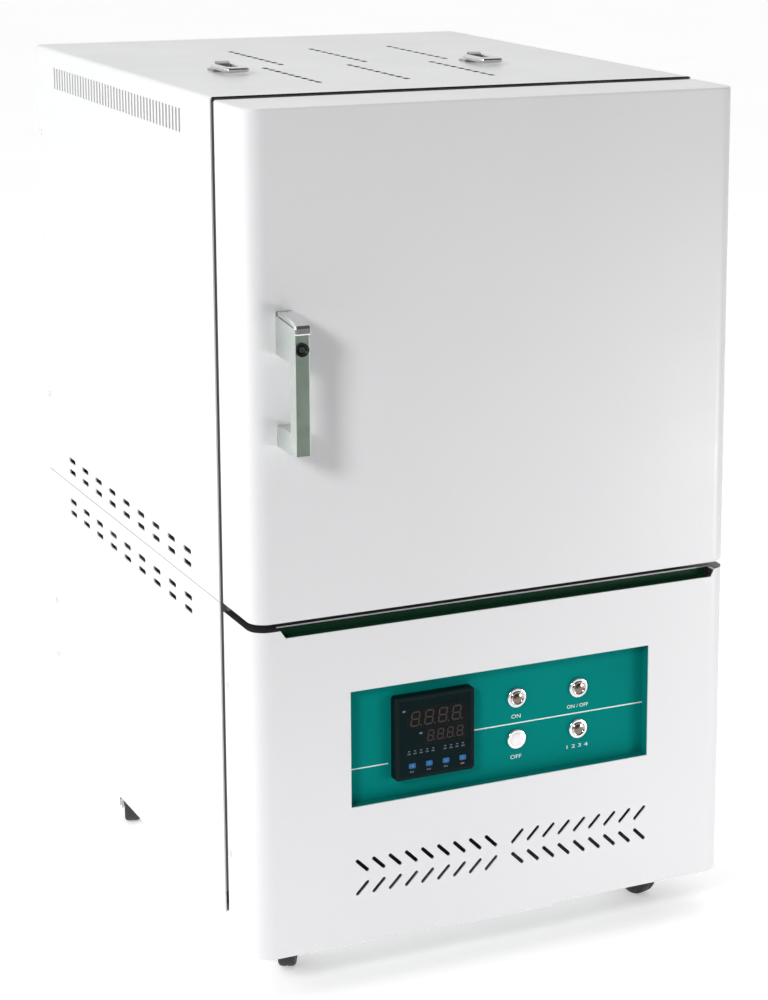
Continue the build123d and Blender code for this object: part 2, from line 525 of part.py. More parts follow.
# ------------------------------------------------------------------
# hinges: pintle leaf on the casing, lift-off leaf on the door
# ------------------------------------------------------------------
bl, dl = [], []
hscr = []
for hz in HINGE_Z:
    zb0, zb1 = hz - 30.0, hz
    leaf = box(W, W + 3.0, 108.0, 152.0, zb0, zb1)
    leaf += box(W, W + 8.0, 99.0, 110.0, zb0, zb1)
    leaf += cyl_z(HINGE_X, HINGE_Y, zb0, zb1, 6.5)
    leaf += cyl_z(HINGE_X, HINGE_Y, zb1 - 1, zb1 + 31.0, PIN_R)
    leaf -= box(W - 20, W, 80, 160, zb0 - 1, zb1 + 1)
    for y, z in hinge_screws:
        if zb0 < z < zb1:
            leaf -= cyl_x(W - 1, W + 4, y, z, 2.1)
    bl.append(leaf)
    zd0, zd1 = hz + 0.5, hz + 30.5
    dleaf = box(W, W + 3.0, 44.0, 90.0, zd0, zd1)
    dleaf += box(W, W + 8.0, 84.0, 97.0, zd0, zd1)
    dleaf += cyl_z(HINGE_X, HINGE_Y, zd0, zd1, 6.5)
    dleaf -= cyl_z(HINGE_X, HINGE_Y, zd0 - 1, zd1 + 5, PIN_R + 0.06)
    dleaf += cyl_z(HINGE_X, HINGE_Y, zd1 + 1.0, zd1 + 3.5, 6.5) + (
        cyl_z(HINGE_X, HINGE_Y, zd1 - 1, zd1 + 2.0, 6.5) - cyl_z(HINGE_X, HINGE_Y, zd1 - 2, zd1 + 1.5, PIN_R + 0.6))
    for y, z in door_hinge_screws:
        if zd0 < z < zd1:
            dleaf -= cyl_x(W - 1, W + 4, y, z, 2.1)
    dl.append(dleaf)
put("hinge_leaves_casing", *bl)
put("hinge_leaves_door", *dl)


def screw_x(x, y, z, sign, shank=6.0, head=1.8, r=3.8):
    """Pan-head screw through a wall facing x; sign +1 has its head on the +x side."""
    h = cyl_x(min(x, x + sign * head), max(x, x + sign * head), y, z, r)
    s = cyl_x(min(x, x - sign * shank), max(x, x - sign * shank), y, z, 2.0)
    rec = cyl_x(min(x + sign * head * 0.4, x + sign * (head + 1)), max(x + sign * head * 0.4, x + sign * (head + 1)), y, z, 1.2)
    return h + s - rec


def screw_y(x, y, z, shank=6.0, head=1.8, r=3.8):
    """Pan-head screw in the rear panel, head on the +y side."""
    return cyl_y(x, y, y + head, z, r) + cyl_y(x, y - shank, y, z, 2.0) - cyl_y(x, y + head * 0.4, y + head + 1, z, 1.2)


scr = []
for y, z in side_screws:
    scr += [screw_x(0.0, y, z, -1), screw_x(W, y, z, 1)]
for y, z in rear_side_screws:
    scr += [screw_x(0.0, y, z, -1), screw_x(W, y, z, 1)]
for y, z in hinge_screws:
    scr.append(screw_x(W + 3.0, y, z, 1, shank=9.0))
for x, z in rear_screws:
    scr.append(screw_y(x, DEPTH, z))
put("casing_screws", *scr)
dscr = [screw_x(W + 3.0, y, z, 1, shank=9.0) for y, z in door_hinge_screws]
put("door_screws", *dscr, *hs)

# ------------------------------------------------------------------
# lifting rings on the roof
# ------------------------------------------------------------------
bases = []
RZ = H + 6.5
for i, rx in enumerate(RING_X):
    b = box(rx - 12, rx + 12, RING_Y - 2.0, RING_Y + 21.0, H, H + 2.5)
    b = fillet(b.edges().filter_by(Axis.Z).group_by(Axis.Y)[-1], 5.0)
    b += cyl_x(rx - 7.5, rx + 7.5, RING_Y, RZ, 5.6) + box(rx - 7.5, rx + 7.5, RING_Y - 1, RING_Y + 7, H, RZ)
    b -= cyl_x(rx - 9, rx + 9, RING_Y, RZ, RING_R + 0.06)
    for x, y in roof_screw:
        if abs(x - rx) < 10:
            b -= cyl_z(x, y, H - 1, H + 4, 2.1)
            s = cyl_z(x, y, H - 8.0, H + 2.5, 2.0) + cyl_z(x, y, H + 2.5, H + 4.3, 3.4)
            PARTS.setdefault("_s", []).append(s)
    bases.append(b)
    x0, x1, y0, y1 = rx - RING_HALF, rx + RING_HALF, RING_Y - RING_L, RING_Y
    r = RING_R
    ring = cyl_x(x0, x1, y0, RZ, r) + cyl_x(x0, x1, y1, RZ, r) + cyl_y(x0, y0, y1, RZ, r) + cyl_y(x1, y0, y1, RZ, r)
    for cx in (x0, x1):
        for cy in (y0, y1):
            ring += Pos(cx, cy, RZ) * Sphere(r)
    put("lifting_ring_%s" % ("left" if i == 0 else "right"), ring)
put("lifting_ring_bases", *bases)
PARTS["casing_screws"] += [t for s in PARTS.pop("_s") for t in s.solids()]

# ------------------------------------------------------------------
# castors
# ------------------------------------------------------------------
AX_Z = FLOOR_Z + WHEEL_R
plates, castor_bolts = [], []
for key, (px, py, d) in CASTORS.items():
    p = box(px - 30, px + 30, py - 30, py + 30, BODY_Z0 - 2.5, BODY_Z0)
    p = fillet(p.edges().filter_by(Axis.Z), 6.0)
    p += cyl_z(px, py, 10.8, BODY_Z0 - 2.0, 20.0)
    for sx in (-22.0, 22.0):
        for sy in (-22.0, 22.0):
            p -= cyl_z(px + sx, py + sy, BODY_Z0 - 4, BODY_Z0 + 1, 3.1)
            bolt_s = cyl_z(px + sx, py + sy, BODY_Z0 - 2.5, BODY_Z0 + 12.0, 3.0) + \
                Pos(px + sx, py + sy, BODY_Z0 - 4.5) * extrude(RegularPolygon(5.2, 6), 2.0)
            castor_bolts.append(bolt_s)
    # king pin, its head inside the fork's cup
    p += cyl_z(px, py, 4.6, 12.0, 4.0) + cyl_z(px, py, 4.6, 6.8, 7.0)
    plates.append(p)

    ang = math.degrees(math.atan2(d[1], d[0]))
    # fork built along +x from the pivot, then turned to its resting direction
    fork = cyl_z(0, 0, 4.2, 10.2, 21.0) - cyl_z(0, 0, 3.0, 7.2, 18.5)
    leg_prof = Plane.XZ * make_face(Polyline((-15.0, 8.0), (15.0, 8.0), (30.5, AX_Z + 2), (30.5, AX_Z - 3), (27.0, AX_Z - 7.5),
                                             (19.0, AX_Z - 7.5), (15.5, AX_Z - 3), (-12.0, 2.0), close=True))
    leg = extrude(leg_prof, amount=1.25, both=True)
    fork = fork + (Pos(0, 12.3, 0) * leg) + (Pos(0, -12.3, 0) * leg)
    fork -= cyl_z(0, 0, 0.0, 12.0, 4.06)
    fork -= cyl_y(TRAIL, -20, 20, AX_Z, 3.05)
    axle = cyl_y(TRAIL, -16.0, 16.0, AX_Z, 3.0) + cyl_y(TRAIL, 13.6, 16.0, AX_Z, 5.2) + cyl_y(TRAIL, -16.0, -13.6, AX_Z, 5.2)
    wheel = cyl_y(TRAIL, -WHEEL_W / 2, WHEEL_W / 2, AX_Z, WHEEL_R)
    wheel = fillet(wheel.edges().filter_by(GeomType.CIRCLE), 3.5)
    wheel -= cyl_y(TRAIL, WHEEL_W / 2 - 3.0, WHEEL_W, AX_Z, 16.0) + cyl_y(TRAIL, -WHEEL_W, -WHEEL_W / 2 + 3.0, AX_Z, 16.0)
    wheel += cyl_y(TRAIL, -WHEEL_W / 2 - 0.6, WHEEL_W / 2 + 0.6, AX_Z, 7.0)
    wheel -= cyl_y(TRAIL, -20, 20, AX_Z, 3.06)
    T = Pos(px, py, 0) * Rot(0, 0, ang)
    put("castor_fork_" + key, T * fork, T * axle)
    put("castor_wheel_" + key, T * wheel)
put("castor_plates", *plates)
PARTS["casing_screws"] += [t for s in castor_bolts for t in s.solids()]

# ------------------------------------------------------------------
# shift to the origin at the middle of the underside and write the pieces
# ------------------------------------------------------------------
bbs = [s.bounding_box() for v in PARTS.values() for s in v]
lo = [min(b.min.X for b in bbs), min(b.min.Y for b in bbs), min(b.min.Z for b in bbs)]
hi = [max(b.max.X for b in bbs), max(b.max.Y for b in bbs), max(b.max.Z for b in bbs)]
X_MIN, X_MAX = -1.8, HINGE_X + 6.5
Y_MIN, Y_MAX = NOSE_Y, DEPTH + 20.0
SHIFT = (-(X_MIN + X_MAX) / 2, -(Y_MIN + Y_MAX) / 2, -FLOOR_Z)

if __name__ == "__main__":
    os.makedirs("parts", exist_ok=True)
    for f in os.listdir("parts"):
        if f.endswith(".step"):
            os.remove(os.path.join("parts", f))
    print("box", [round(v, 3) for v in lo], [round(v, 3) for v in hi])
    print("expected", X_MIN, X_MAX, Y_MIN, Y_MAX, FLOOR_Z)
    print("shift", SHIFT, "nodes", len(PARTS))
    for name, solids in PARTS.items():
        moved = [Pos(*SHIFT) * s for s in solids]
        obj = moved[0] if len(moved) == 1 else Compound(children=moved)
        export_step(obj, "parts/%s.step" % name)
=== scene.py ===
import math

import bmesh
import bpy
from mathutils import Matrix, Vector


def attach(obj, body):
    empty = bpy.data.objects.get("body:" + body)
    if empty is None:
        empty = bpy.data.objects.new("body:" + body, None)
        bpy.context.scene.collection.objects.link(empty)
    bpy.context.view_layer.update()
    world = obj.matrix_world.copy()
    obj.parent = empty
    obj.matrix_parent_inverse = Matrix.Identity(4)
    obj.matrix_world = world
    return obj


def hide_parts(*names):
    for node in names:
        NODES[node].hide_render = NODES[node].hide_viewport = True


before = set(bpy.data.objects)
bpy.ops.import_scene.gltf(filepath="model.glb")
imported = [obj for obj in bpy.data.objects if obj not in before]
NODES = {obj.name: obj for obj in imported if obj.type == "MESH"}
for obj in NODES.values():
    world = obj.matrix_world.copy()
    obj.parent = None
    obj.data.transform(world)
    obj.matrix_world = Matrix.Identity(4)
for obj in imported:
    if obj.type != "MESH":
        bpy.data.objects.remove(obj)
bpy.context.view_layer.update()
SCENE = bpy.context.scene
OFF = (-0.29735, -0.3605, 0.052)


def P(x, y, z):
    """A point given in millimetres from the casing's lower left front corner, in the row frame."""
    return Vector((x / 1000 + OFF[0], y / 1000 + OFF[1], z / 1000 + OFF[2]))


# ---------------------------------------------------------------- materials
class Mat:
    """One node material with helpers that wire noise into colour, roughness and bump."""

    def __init__(self, name):
        self.m = bpy.data.materials.new(name)
        self.m.use_nodes = True
        self.nt = self.m.node_tree
        self.nt.nodes.clear()
        self.out = self.node("ShaderNodeOutputMaterial")
        self.b = self.node("ShaderNodeBsdfPrincipled")
        self.link(self.b.outputs["BSDF"], self.out.inputs["Surface"])
        self.tc = self.node("ShaderNodeTexCoord")
        self.normal = None

    def node(self, kind):
        return self.nt.nodes.new(kind)

    def link(self, a, b):
        self.nt.links.new(a, b)

    def set(self, **kw):
        for k, v in kw.items():
            self.b.inputs[k.replace("_", " ")].default_value = v

    def coords(self, stretch=(1, 1, 1), rot=(0, 0, 0)):
        if stretch == (1, 1, 1) and rot == (0, 0, 0):
            return self.tc.outputs["Object"]
        mp = self.node("ShaderNodeMapping")
        mp.inputs["Scale"].default_value = stretch
        mp.inputs["Rotation"].default_value = rot
        self.link(self.tc.outputs["Object"], mp.inputs["Vector"])
        return mp.outputs["Vector"]

    def noise(self, scale, detail=3.0, rough=0.5, stretch=(1, 1, 1), distortion=0.0):
        n = self.node("ShaderNodeTexNoise")
        n.inputs["Scale"].default_value = scale
        n.inputs["Detail"].default_value = detail
        n.inputs["Roughness"].default_value = rough
        n.inputs["Distortion"].default_value = distortion
        self.link(self.coords(stretch), n.inputs["Vector"])
        return n.outputs["Fac"]

    def voronoi(self, scale, feature="F1", stretch=(1, 1, 1), out="Distance"):
        n = self.node("ShaderNodeTexVoronoi")
        n.feature = feature
        n.inputs["Scale"].default_value = scale
        self.link(self.coords(stretch), n.inputs["Vector"])
        return n.outputs[out]

    def wave(self, scale, direction="X", distortion=0.0, detail=1.0, stretch=(1, 1, 1), rot=(0, 0, 0)):
        n = self.node("ShaderNodeTexWave")
        n.bands_direction = direction
        n.inputs["Scale"].default_value = scale
        n.inputs["Distortion"].default_value = distortion
        n.inputs["Detail"].default_value = detail
        self.link(self.coords(stretch, rot), n.inputs["Vector"])
        return n.outputs["Fac"]

    def ramp(self, src, stops):
        r = self.node("ShaderNodeValToRGB")
        e = r.color_ramp.elements
        while len(e) < len(stops):
            e.new(0.5)
        for el, (pos, col) in zip(e, stops):
            el.position = pos
            el.color = (*col, 1.0) if len(col) == 3 else col
        self.link(src, r.inputs["Fac"])
        return r.outputs["Color"]

    def mix(self, fac, a, b, blend="MIX"):
        n = self.node("ShaderNodeMix")
        n.data_type = "RGBA"
        n.blend_type = blend
        for sock, v in ((n.inputs[0], fac), (n.inputs[6], a), (n.inputs[7], b)):
            if isinstance(v, (int, float)):
                sock.default_value = v
            elif isinstance(v, (tuple, list)):
                sock.default_value = (*v, 1.0) if len(v) == 3 else v
            else:
                self.link(v, sock)
        return n.outputs[2]

    def remap(self, src, lo, hi, a=0.0, b=1.0):
        n = self.node("ShaderNodeMapRange")
        n.inputs["From Min"].default_value = a
        n.inputs["From Max"].default_value = b
        n.inputs["To Min"].default_value = lo
        n.inputs["To Max"].default_value = hi
        self.link(src, n.inputs["Value"])
        return n.outputs["Result"]

    def bump(self, src, strength, distance):
        n = self.node("ShaderNodeBump")
        n.inputs["Strength"].default_value = strength
        n.inputs["Distance"].default_value = distance
        self.link(src, n.inputs["Height"])
        if self.normal is not None:
            self.link(self.normal, n.inputs["Normal"])
        self.normal = n.outputs["Normal"]
        self.link(self.normal, self.b.inputs["Normal"])

    def color(self, src):
        self.link(src, self.b.inputs["Base Color"])

    def rough(self, src):
        self.link(src, self.b.inputs["Roughness"])


def shade(c, k):
    return tuple(min(1.0, max(0.0, v * k)) for v in c)


def powder(name, base, rough=0.38, peel=0.06, drift=0.02, spec=0.40):
    """Powder-coated sheet: orange peel, a slow drift in tone, and faint handling marks in the gloss."""
    m = Mat(name)
    slow = m.noise(2.6, 2.0)
    fine = m.noise(420.0, 2.0)
    c = m.ramp(slow, [(0.3, shade(base, 1 - drift)), (0.7, shade(base, 1 + drift * 0.6))])
    speck = m.ramp(fine, [(0.25, (0.90, 0.90, 0.90)), (0.42, (1, 1, 1))])
    m.color(m.mix(0.20, c, speck, "MULTIPLY"))
    smudge = m.noise(9.0, 4.0, 0.65)
    m.rough(m.remap(smudge, rough - 0.06, rough + 0.09, 0.3, 0.7))
    m.bump(m.noise(3.2, 1.0), 0.25, 0.0012)
    m.bump(m.noise(560.0, 2.0, 0.55), peel, 0.0004)
    m.set(Coat_Weight=0.06, Coat_Roughness=0.25, Specular_IOR_Level=spec)
    return m.m


def plated(name, base=(0.60, 0.60, 0.58), rough=0.34, spangle=0.0, tint=(0.62, 0.58, 0.50)):
    """Zinc-plated or galvanised steel: clouded sheen, faint yellow passivation, hairline scratches."""
    m = Mat(name)
    m.set(Metallic=1.0)
    cloud = m.noise(38.0, 5.0, 0.6)
    c = m.ramp(cloud, [(0.32, shade(base, 0.86)), (0.55, base), (0.78, tint)])
    if spangle:
        cell = m.voronoi(85.0, out="Color")
        c = m.mix(spangle, c, m.mix(1.0, base, cell, "OVERLAY"))
        m.rough(m.remap(m.voronoi(85.0), rough - 0.08, rough + 0.16))
    else:
        m.rough(m.remap(m.noise(70.0, 4.0, 0.6), rough - 0.10, rough + 0.14, 0.3, 0.7))
    m.color(c)
    m.bump(m.noise(240.0, 4.0, 0.6, (1, 1, 9)), 0.08, 0.0003)
    return m.m


def brushed(name, base=(0.58, 0.58, 0.57), rough=0.28, stretch=(1, 1, 60)):
    """Brushed sheet: long fine lines in tone and height."""
    m = Mat(name)
    m.set(Metallic=1.0)
    lines = m.noise(420.0, 3.0, 0.6, tuple(1 / s if s > 1 else 1 for s in stretch))
    m.color(m.ramp(lines, [(0.3, shade(base, 0.88)), (0.7, shade(base, 1.08))]))
    m.rough(m.remap(lines, rough - 0.08, rough + 0.10))
    m.bump(lines, 0.10, 0.0002)
    m.bump(m.noise(6.0, 1.0), 0.15, 0.001)
    return m.m


def chrome(name, base=(0.82, 0.82, 0.83), rough=0.06):
    m = Mat(name)
    m.set(Metallic=1.0)
    haze = m.noise(120.0, 4.0, 0.6)
    m.color(m.ramp(haze, [(0.3, shade(base, 0.93)), (0.7, base)]))
    m.rough(m.remap(haze, rough, rough + 0.09, 0.35, 0.75))
    m.bump(m.noise(900.0, 3.0, 0.6, (1, 1, 0.2)), 0.03, 0.0001)
    return m.m


def plastic(name, base, rough=0.5, grain=900.0, depth=0.12, coat=0.0, drift=0.12, spec=0.5):
    """Moulded plastic with a spark-eroded grain."""
    m = Mat(name)
    n = m.noise(grain, 2.0)
    slow = m.noise(22.0, 3.0)
    m.color(m.mix(0.5, m.ramp(slow, [(0.3, shade(base, 1 - drift)), (0.7, shade(base, 1 + drift))]),
                  m.ramp(n, [(0.3, shade(base, 0.85)), (0.7, shade(base, 1.15))])))
    m.rough(m.remap(slow, rough - 0.06, rough + 0.08, 0.3, 0.7))
    m.bump(n, depth, 0.0002)
    m.set(Specular_IOR_Level=spec)
    if coat:
        m.set(Coat_Weight=coat, Coat_Roughness=0.05)
    return m.m


def fibre(name, base=(0.83, 0.81, 0.76)):
    """Vacuum-formed ceramic fibre: matted fibres, shallow pits and tan firing stains."""
    m = Mat(name)
    f = m.noise(160.0, 6.0, 0.7, (1, 1, 0.35), 0.8)
    stain = m.noise(7.0, 3.0, 0.6)
    c = m.ramp(f, [(0.25, shade(base, 0.86)), (0.6, base), (0.85, shade(base, 1.08))])
    m.color(m.mix(m.remap(stain, 0.0, 0.35, 0.5, 0.75), c, (0.60, 0.48, 0.33)))
    m.set(Roughness=0.95, Specular_IOR_Level=0.15)
    m.bump(f, 0.5, 0.0012)
    m.bump(m.voronoi(60.0), 0.12, 0.0015)
    return m.m


def fired(name, base=(0.72, 0.58, 0.42)):
    """Fired clay slab: grog specks and fine pits."""
    m = Mat(name)
    grog = m.voronoi(210.0, out="Color")
    bw = m.node("ShaderNodeRGBToBW")
    m.link(grog, bw.inputs[0])
    c = m.ramp(bw.outputs[0], [(0.15, shade(base, 0.62)), (0.3, base), (0.8, shade(base, 1.15))])
    m.color(m.mix(0.5, c, m.ramp(m.noise(14.0, 4.0), [(0.3, shade(base, 0.8)), (0.7, shade(base, 1.1))])))
    m.set(Roughness=0.9, Specular_IOR_Level=0.2)
    m.bump(m.noise(300.0, 5.0, 0.7), 0.35, 0.0006)
    return m.m


def rubber(name, base=(0.018, 0.018, 0.019), rough=0.55):
    m = Mat(name)
    dust = m.noise(60.0, 5.0, 0.65)
    m.color(m.mix(m.remap(dust, 0.0, 0.30, 0.48, 0.8), base, (0.14, 0.13, 0.12)))
    m.rough(m.remap(dust, rough - 0.1, rough + 0.2, 0.3, 0.7))
    m.bump(m.noise(700.0, 3.0), 0.15, 0.0003)
    return m.m


def woven(name, base=(0.80, 0.78, 0.72), scale=520.0):
    """Plaited glass rope: two crossing yarn directions with lifted crowns and loose hair."""
    m = Mat(name)
    a = m.wave(scale / 6.283, "DIAGONAL", 0.6, 2.0)
    b = m.wave(scale / 6.283, "DIAGONAL", 0.6, 2.0, (1, 1, -1))
    c = m.mix(0.5, a, b, "MULTIPLY")
    m.color(m.mix(0.6, m.ramp(c, [(0.1, shade(base, 0.62)), (0.6, base)]), m.ramp(m.noise(300.0, 4.0), [(0.3, shade(base, 0.8)), (0.7, shade(base, 1.1))])))
    m.set(Roughness=0.9, Sheen_Weight=0.25, Sheen_Roughness=0.5)
    m.bump(c, 0.6, 0.0008)
    return m.m


WHITE = (0.74, 0.745, 0.75)
ROOF_Z = 0.982
MATS = {
    "paint": powder("paint_light_grey", WHITE),
    "paint_door": powder("paint_door", (0.735, 0.735, 0.745), 0.36),
    "paint_frame": powder("paint_front_frame", (0.10, 0.10, 0.115), 0.5, spec=0.25),
    "paint_base": powder("paint_base", (0.42, 0.43, 0.43), 0.5),
    "green": powder("paint_dark_green", (0.006, 0.044, 0.019), 0.5, spec=0.12),
    "zinc": plated("zinc_plate"),
    "zinc_dark": plated("zinc_plate_dark", (0.42, 0.42, 0.41), 0.38),
    "galv": plated("galvanised_sheet", (0.56, 0.57, 0.57), 0.36, 0.5),
    "stainless": brushed("stainless_brushed", (0.60, 0.60, 0.59), 0.26, (1, 60, 1)),
    "chrome": chrome("chrome_bright"),
    "chrome_ring": chrome("ring_bright_plate", (0.66, 0.66, 0.66), 0.12),
    "black": plastic("plastic_black", (0.016, 0.016, 0.018), 0.48),
    "black_gloss": plastic("lock_ring_black", (0.008, 0.010, 0.009), 0.38, 1500.0, 0.03, 0.0, spec=0.25),
    "case": plastic("plastic_instrument_case", (0.003, 0.010, 0.011), 0.42, 1100.0, 0.08, spec=0.09),
    "blue_key": plastic("plastic_blue_key", (0.004, 0.105, 0.30), 0.34, 1500.0, 0.05, 0.1, spec=0.25),
    "fibre": fibre("ceramic_fibre"),
    "fibre_dark": fibre("ceramic_fibre_fired", (0.74, 0.70, 0.62)),
    "fired": fired("fired_clay"),
    "bush": fired("bush_ceramic", (0.82, 0.79, 0.72)),
    "alumina": fired("alumina_sheath", (0.80, 0.74, 0.62)),
    "wire": plated("element_alloy", (0.20, 0.19, 0.19), 0.55, 0.0, (0.30, 0.22, 0.17)),
    "rope": woven("glass_rope"),
    "rubber": rubber("castor_rubber"),
    "alu": brushed("aluminium_extruded", (0.62, 0.63, 0.64), 0.34, (1, 1, 60)),
    "relay": plastic("plastic_relay", (0.62, 0.61, 0.56), 0.5),
    "block": plastic("plastic_terminal", (0.05, 0.05, 0.052), 0.5),
}


def teal_sheet():
    """Printed control sheet: even teal ink with a fine satin grain under a clear film."""
    m = Mat("teal_control_sheet")
    base = (0.0004, 0.200, 0.180)
    g = m.noise(1400.0, 2.0)
    slow = m.noise(5.0, 2.0)
    c = m.ramp(slow, [(0.3, shade(base, 0.94)), (0.7, shade(base, 1.06))])
    m.color(m.mix(0.12, c, m.ramp(g, [(0.3, shade(base, 0.7)), (0.7, shade(base, 1.3))])))
    m.rough(m.remap(m.noise(30.0, 4.0, 0.6), 0.46, 0.60, 0.3, 0.7))
    m.bump(g, 0.05, 0.00015)
    m.set(Specular_IOR_Level=0.02)
    return m.m


def smoke_face():
    """Instrument face: dark navy printed film with a soft gloss."""
    m = Mat("instrument_face")
    base = (0.0030, 0.0105, 0.0115)
    g = m.noise(1600.0, 2.0)
    m.color(m.mix(0.25, m.ramp(m.noise(26.0, 2.0), [(0.3, shade(base, 0.85)), (0.7, shade(base, 1.2))]), m.ramp(g, [(0.3, shade(base, 0.7)), (0.7, shade(base, 1.4))])))
    m.rough(m.remap(m.noise(40.0, 4.0, 0.6), 0.30, 0.40, 0.3, 0.7))
    m.bump(g, 0.03, 0.0001)
    m.set(Specular_IOR_Level=0.04)
    return m.m


def handle_paint():
    """Handle's satin grey-green metallic enamel on a casting."""
    m = Mat("handle_enamel")
    base = (0.60, 0.64, 0.61)
    flake = m.voronoi(2400.0, out="Color")
    slow = m.noise(18.0, 3.0)
    c = m.ramp(slow, [(0.3, shade(base, 0.93)), (0.7, shade(base, 1.07))])
    # faces of the grip that look forward are painted a darker grey-green than the flanks, picked by their normal:
    # painted shade on the side turned away from the main light
    sep = m.node("ShaderNodeSeparateXYZ")
    m.link(m.tc.outputs["Normal"], sep.inputs[0])
    face = m.remap(sep.outputs["Y"], 1.0, 0.0, -0.98, -0.90)
    c = m.mix(face, c, m.mix(1.0, c, (0.60, 0.69, 0.61), "MULTIPLY"))
    m.color(m.mix(0.10, c, flake, "OVERLAY"))
    m.rough(m.remap(m.noise(60.0, 4.0, 0.6), 0.30, 0.42, 0.3, 0.7))
    m.bump(m.noise(520.0, 3.0), 0.07, 0.0003)
    m.set(Metallic=0.92)
    return m.m


def shell_paint():
    """Casing paint, with the walls of the roof slots painted near-black: painted shade, so the slots read darker and
    wider.
    """
    m = Mat("paint_upper_shell")
    base = WHITE
    c = m.ramp(m.noise(2.6, 2.0), [(0.3, shade(base, 0.98)), (0.7, shade(base, 1.012))])
    speck = m.ramp(m.noise(420.0, 2.0), [(0.25, (0.90, 0.90, 0.90)), (0.42, (1, 1, 1))])
    c = m.mix(0.20, c, speck, "MULTIPLY")
    nrm = m.node("ShaderNodeSeparateXYZ")
    m.link(m.tc.outputs["Normal"], nrm.inputs[0])
    pos = m.node("ShaderNodeSeparateXYZ")
    m.link(m.tc.outputs["Object"], pos.inputs[0])
    upright = m.remap(nrm.outputs["Z"], 1.0, 0.0, 0.25, 0.45)
    high = m.remap(pos.outputs["Z"], 0.0, 1.0, ROOF_Z - 0.0019, ROOF_Z - 0.0016)
    slot_wall_shade = m.node("ShaderNodeMath")
    slot_wall_shade.operation = "MULTIPLY"
    m.link(upright, slot_wall_shade.inputs[0])
    m.link(high, slot_wall_shade.inputs[1])
    # slot walls just under the roof take a near-black colour: painted shade inside the slots
    m.color(m.mix(slot_wall_shade.outputs[0], c, (0.012, 0.012, 0.013)))
    m.rough(m.remap(m.noise(9.0, 4.0, 0.65), 0.32, 0.47, 0.3, 0.7))
    m.bump(m.noise(3.2, 1.0), 0.25, 0.0012)
    m.bump(m.noise(560.0, 2.0, 0.55), 0.06, 0.0004)
    m.set(Coat_Weight=0.06, Coat_Roughness=0.25, Specular_IOR_Level=0.40)
    return m.m


def panel_paint():
    """Lower panel's paint, with its top faces along the front and side edges painted mottled near-black: painted shade
    of the gap under the door.
    """
    m = Mat("paint_lower_panel")
    base = (0.735, 0.735, 0.745)
    c = m.ramp(m.noise(2.6, 2.0), [(0.3, shade(base, 0.98)), (0.7, shade(base, 1.012))])
    speck = m.ramp(m.noise(420.0, 2.0), [(0.25, (0.90, 0.90, 0.90)), (0.42, (1, 1, 1))])
    c = m.mix(0.20, c, speck, "MULTIPLY")
    nrm = m.node("ShaderNodeSeparateXYZ")
    m.link(m.tc.outputs["Normal"], nrm.inputs[0])
    pos = m.node("ShaderNodeSeparateXYZ")
    m.link(m.tc.outputs["Object"], pos.inputs[0])
    flat = m.remap(nrm.outputs["Z"], 0.0, 1.0, 0.90, 0.97)
    high = m.remap(pos.outputs["Z"], 0.0, 1.0, 0.415, 0.418)
    front = m.remap(pos.outputs["Y"], 1.0, 0.0, -0.3350, -0.3345)
    side = m.remap(pos.outputs["X"], 1.0, 0.0, -0.2740, -0.2735)

    def math_node(op, a, b):
        n = m.node("ShaderNodeMath")
        n.operation = op
        m.link(a, n.inputs[0])
        m.link(b, n.inputs[1])
        return n.outputs[0]

    # flat top faces near the front and left edges turn near-black: painted shade where the door gap falls dark
    gap_shade = math_node("MULTIPLY", math_node("MULTIPLY", flat, high), math_node("MAXIMUM", front, side))
    m.color(m.mix(gap_shade, c, m.ramp(m.voronoi(900.0), [(0.1, (0.010, 0.010, 0.011)), (0.6, (0.020, 0.020, 0.022))])))
    m.rough(m.remap(m.noise(9.0, 4.0, 0.65), 0.30, 0.45, 0.3, 0.7))
    m.bump(m.noise(3.2, 1.0), 0.25, 0.0012)
    m.bump(m.noise(560.0, 2.0, 0.55), 0.06, 0.0004)
    m.set(Coat_Weight=0.06, Coat_Roughness=0.25, Specular_IOR_Level=0.40)
    return m.m


def ink(name, base, rough=0.45):
    m = Mat(name)
    n = m.noise(2600.0, 3.0)
    m.color(m.ramp(n, [(0.25, shade(base, 0.80)), (0.55, base)]))
    m.rough(m.remap(n, rough - 0.08, rough + 0.08))
    m.bump(n, 0.08, 0.0001)
    return m.m


def display_glass():
    m = Mat("display_window")
    base = (0.0042, 0.0036, 0.0034)
    n = m.noise(90.0, 3.0)
    m.color(m.ramp(n, [(0.3, shade(base, 0.8)), (0.7, shade(base, 1.25))]))
    m.rough(m.remap(n, 0.10, 0.20))
    m.bump(m.noise(1800.0, 2.0), 0.02, 0.0001)
    m.set(Specular_IOR_Level=0.10)
    return m.m


def lit_cap():
    """White translucent lens of the lit button."""
    m = Mat("button_lens_white")
    base = (0.83, 0.78, 0.79)
    n = m.noise(300.0, 3.0)
    m.color(m.ramp(n, [(0.3, shade(base, 0.94)), (0.7, base)]))
    m.rough(m.remap(n, 0.12, 0.22))
    m.bump(m.voronoi(700.0), 0.08, 0.0003)
    m.set(Coat_Weight=0.5, Coat_Roughness=0.06, Subsurface_Weight=0.15, Subsurface_Scale=0.002)
    m.b.inputs["Emission Color"].default_value = (1.0, 0.93, 0.93, 1.0)
    m.b.inputs["Emission Strength"].default_value = 0.12
    return m.m


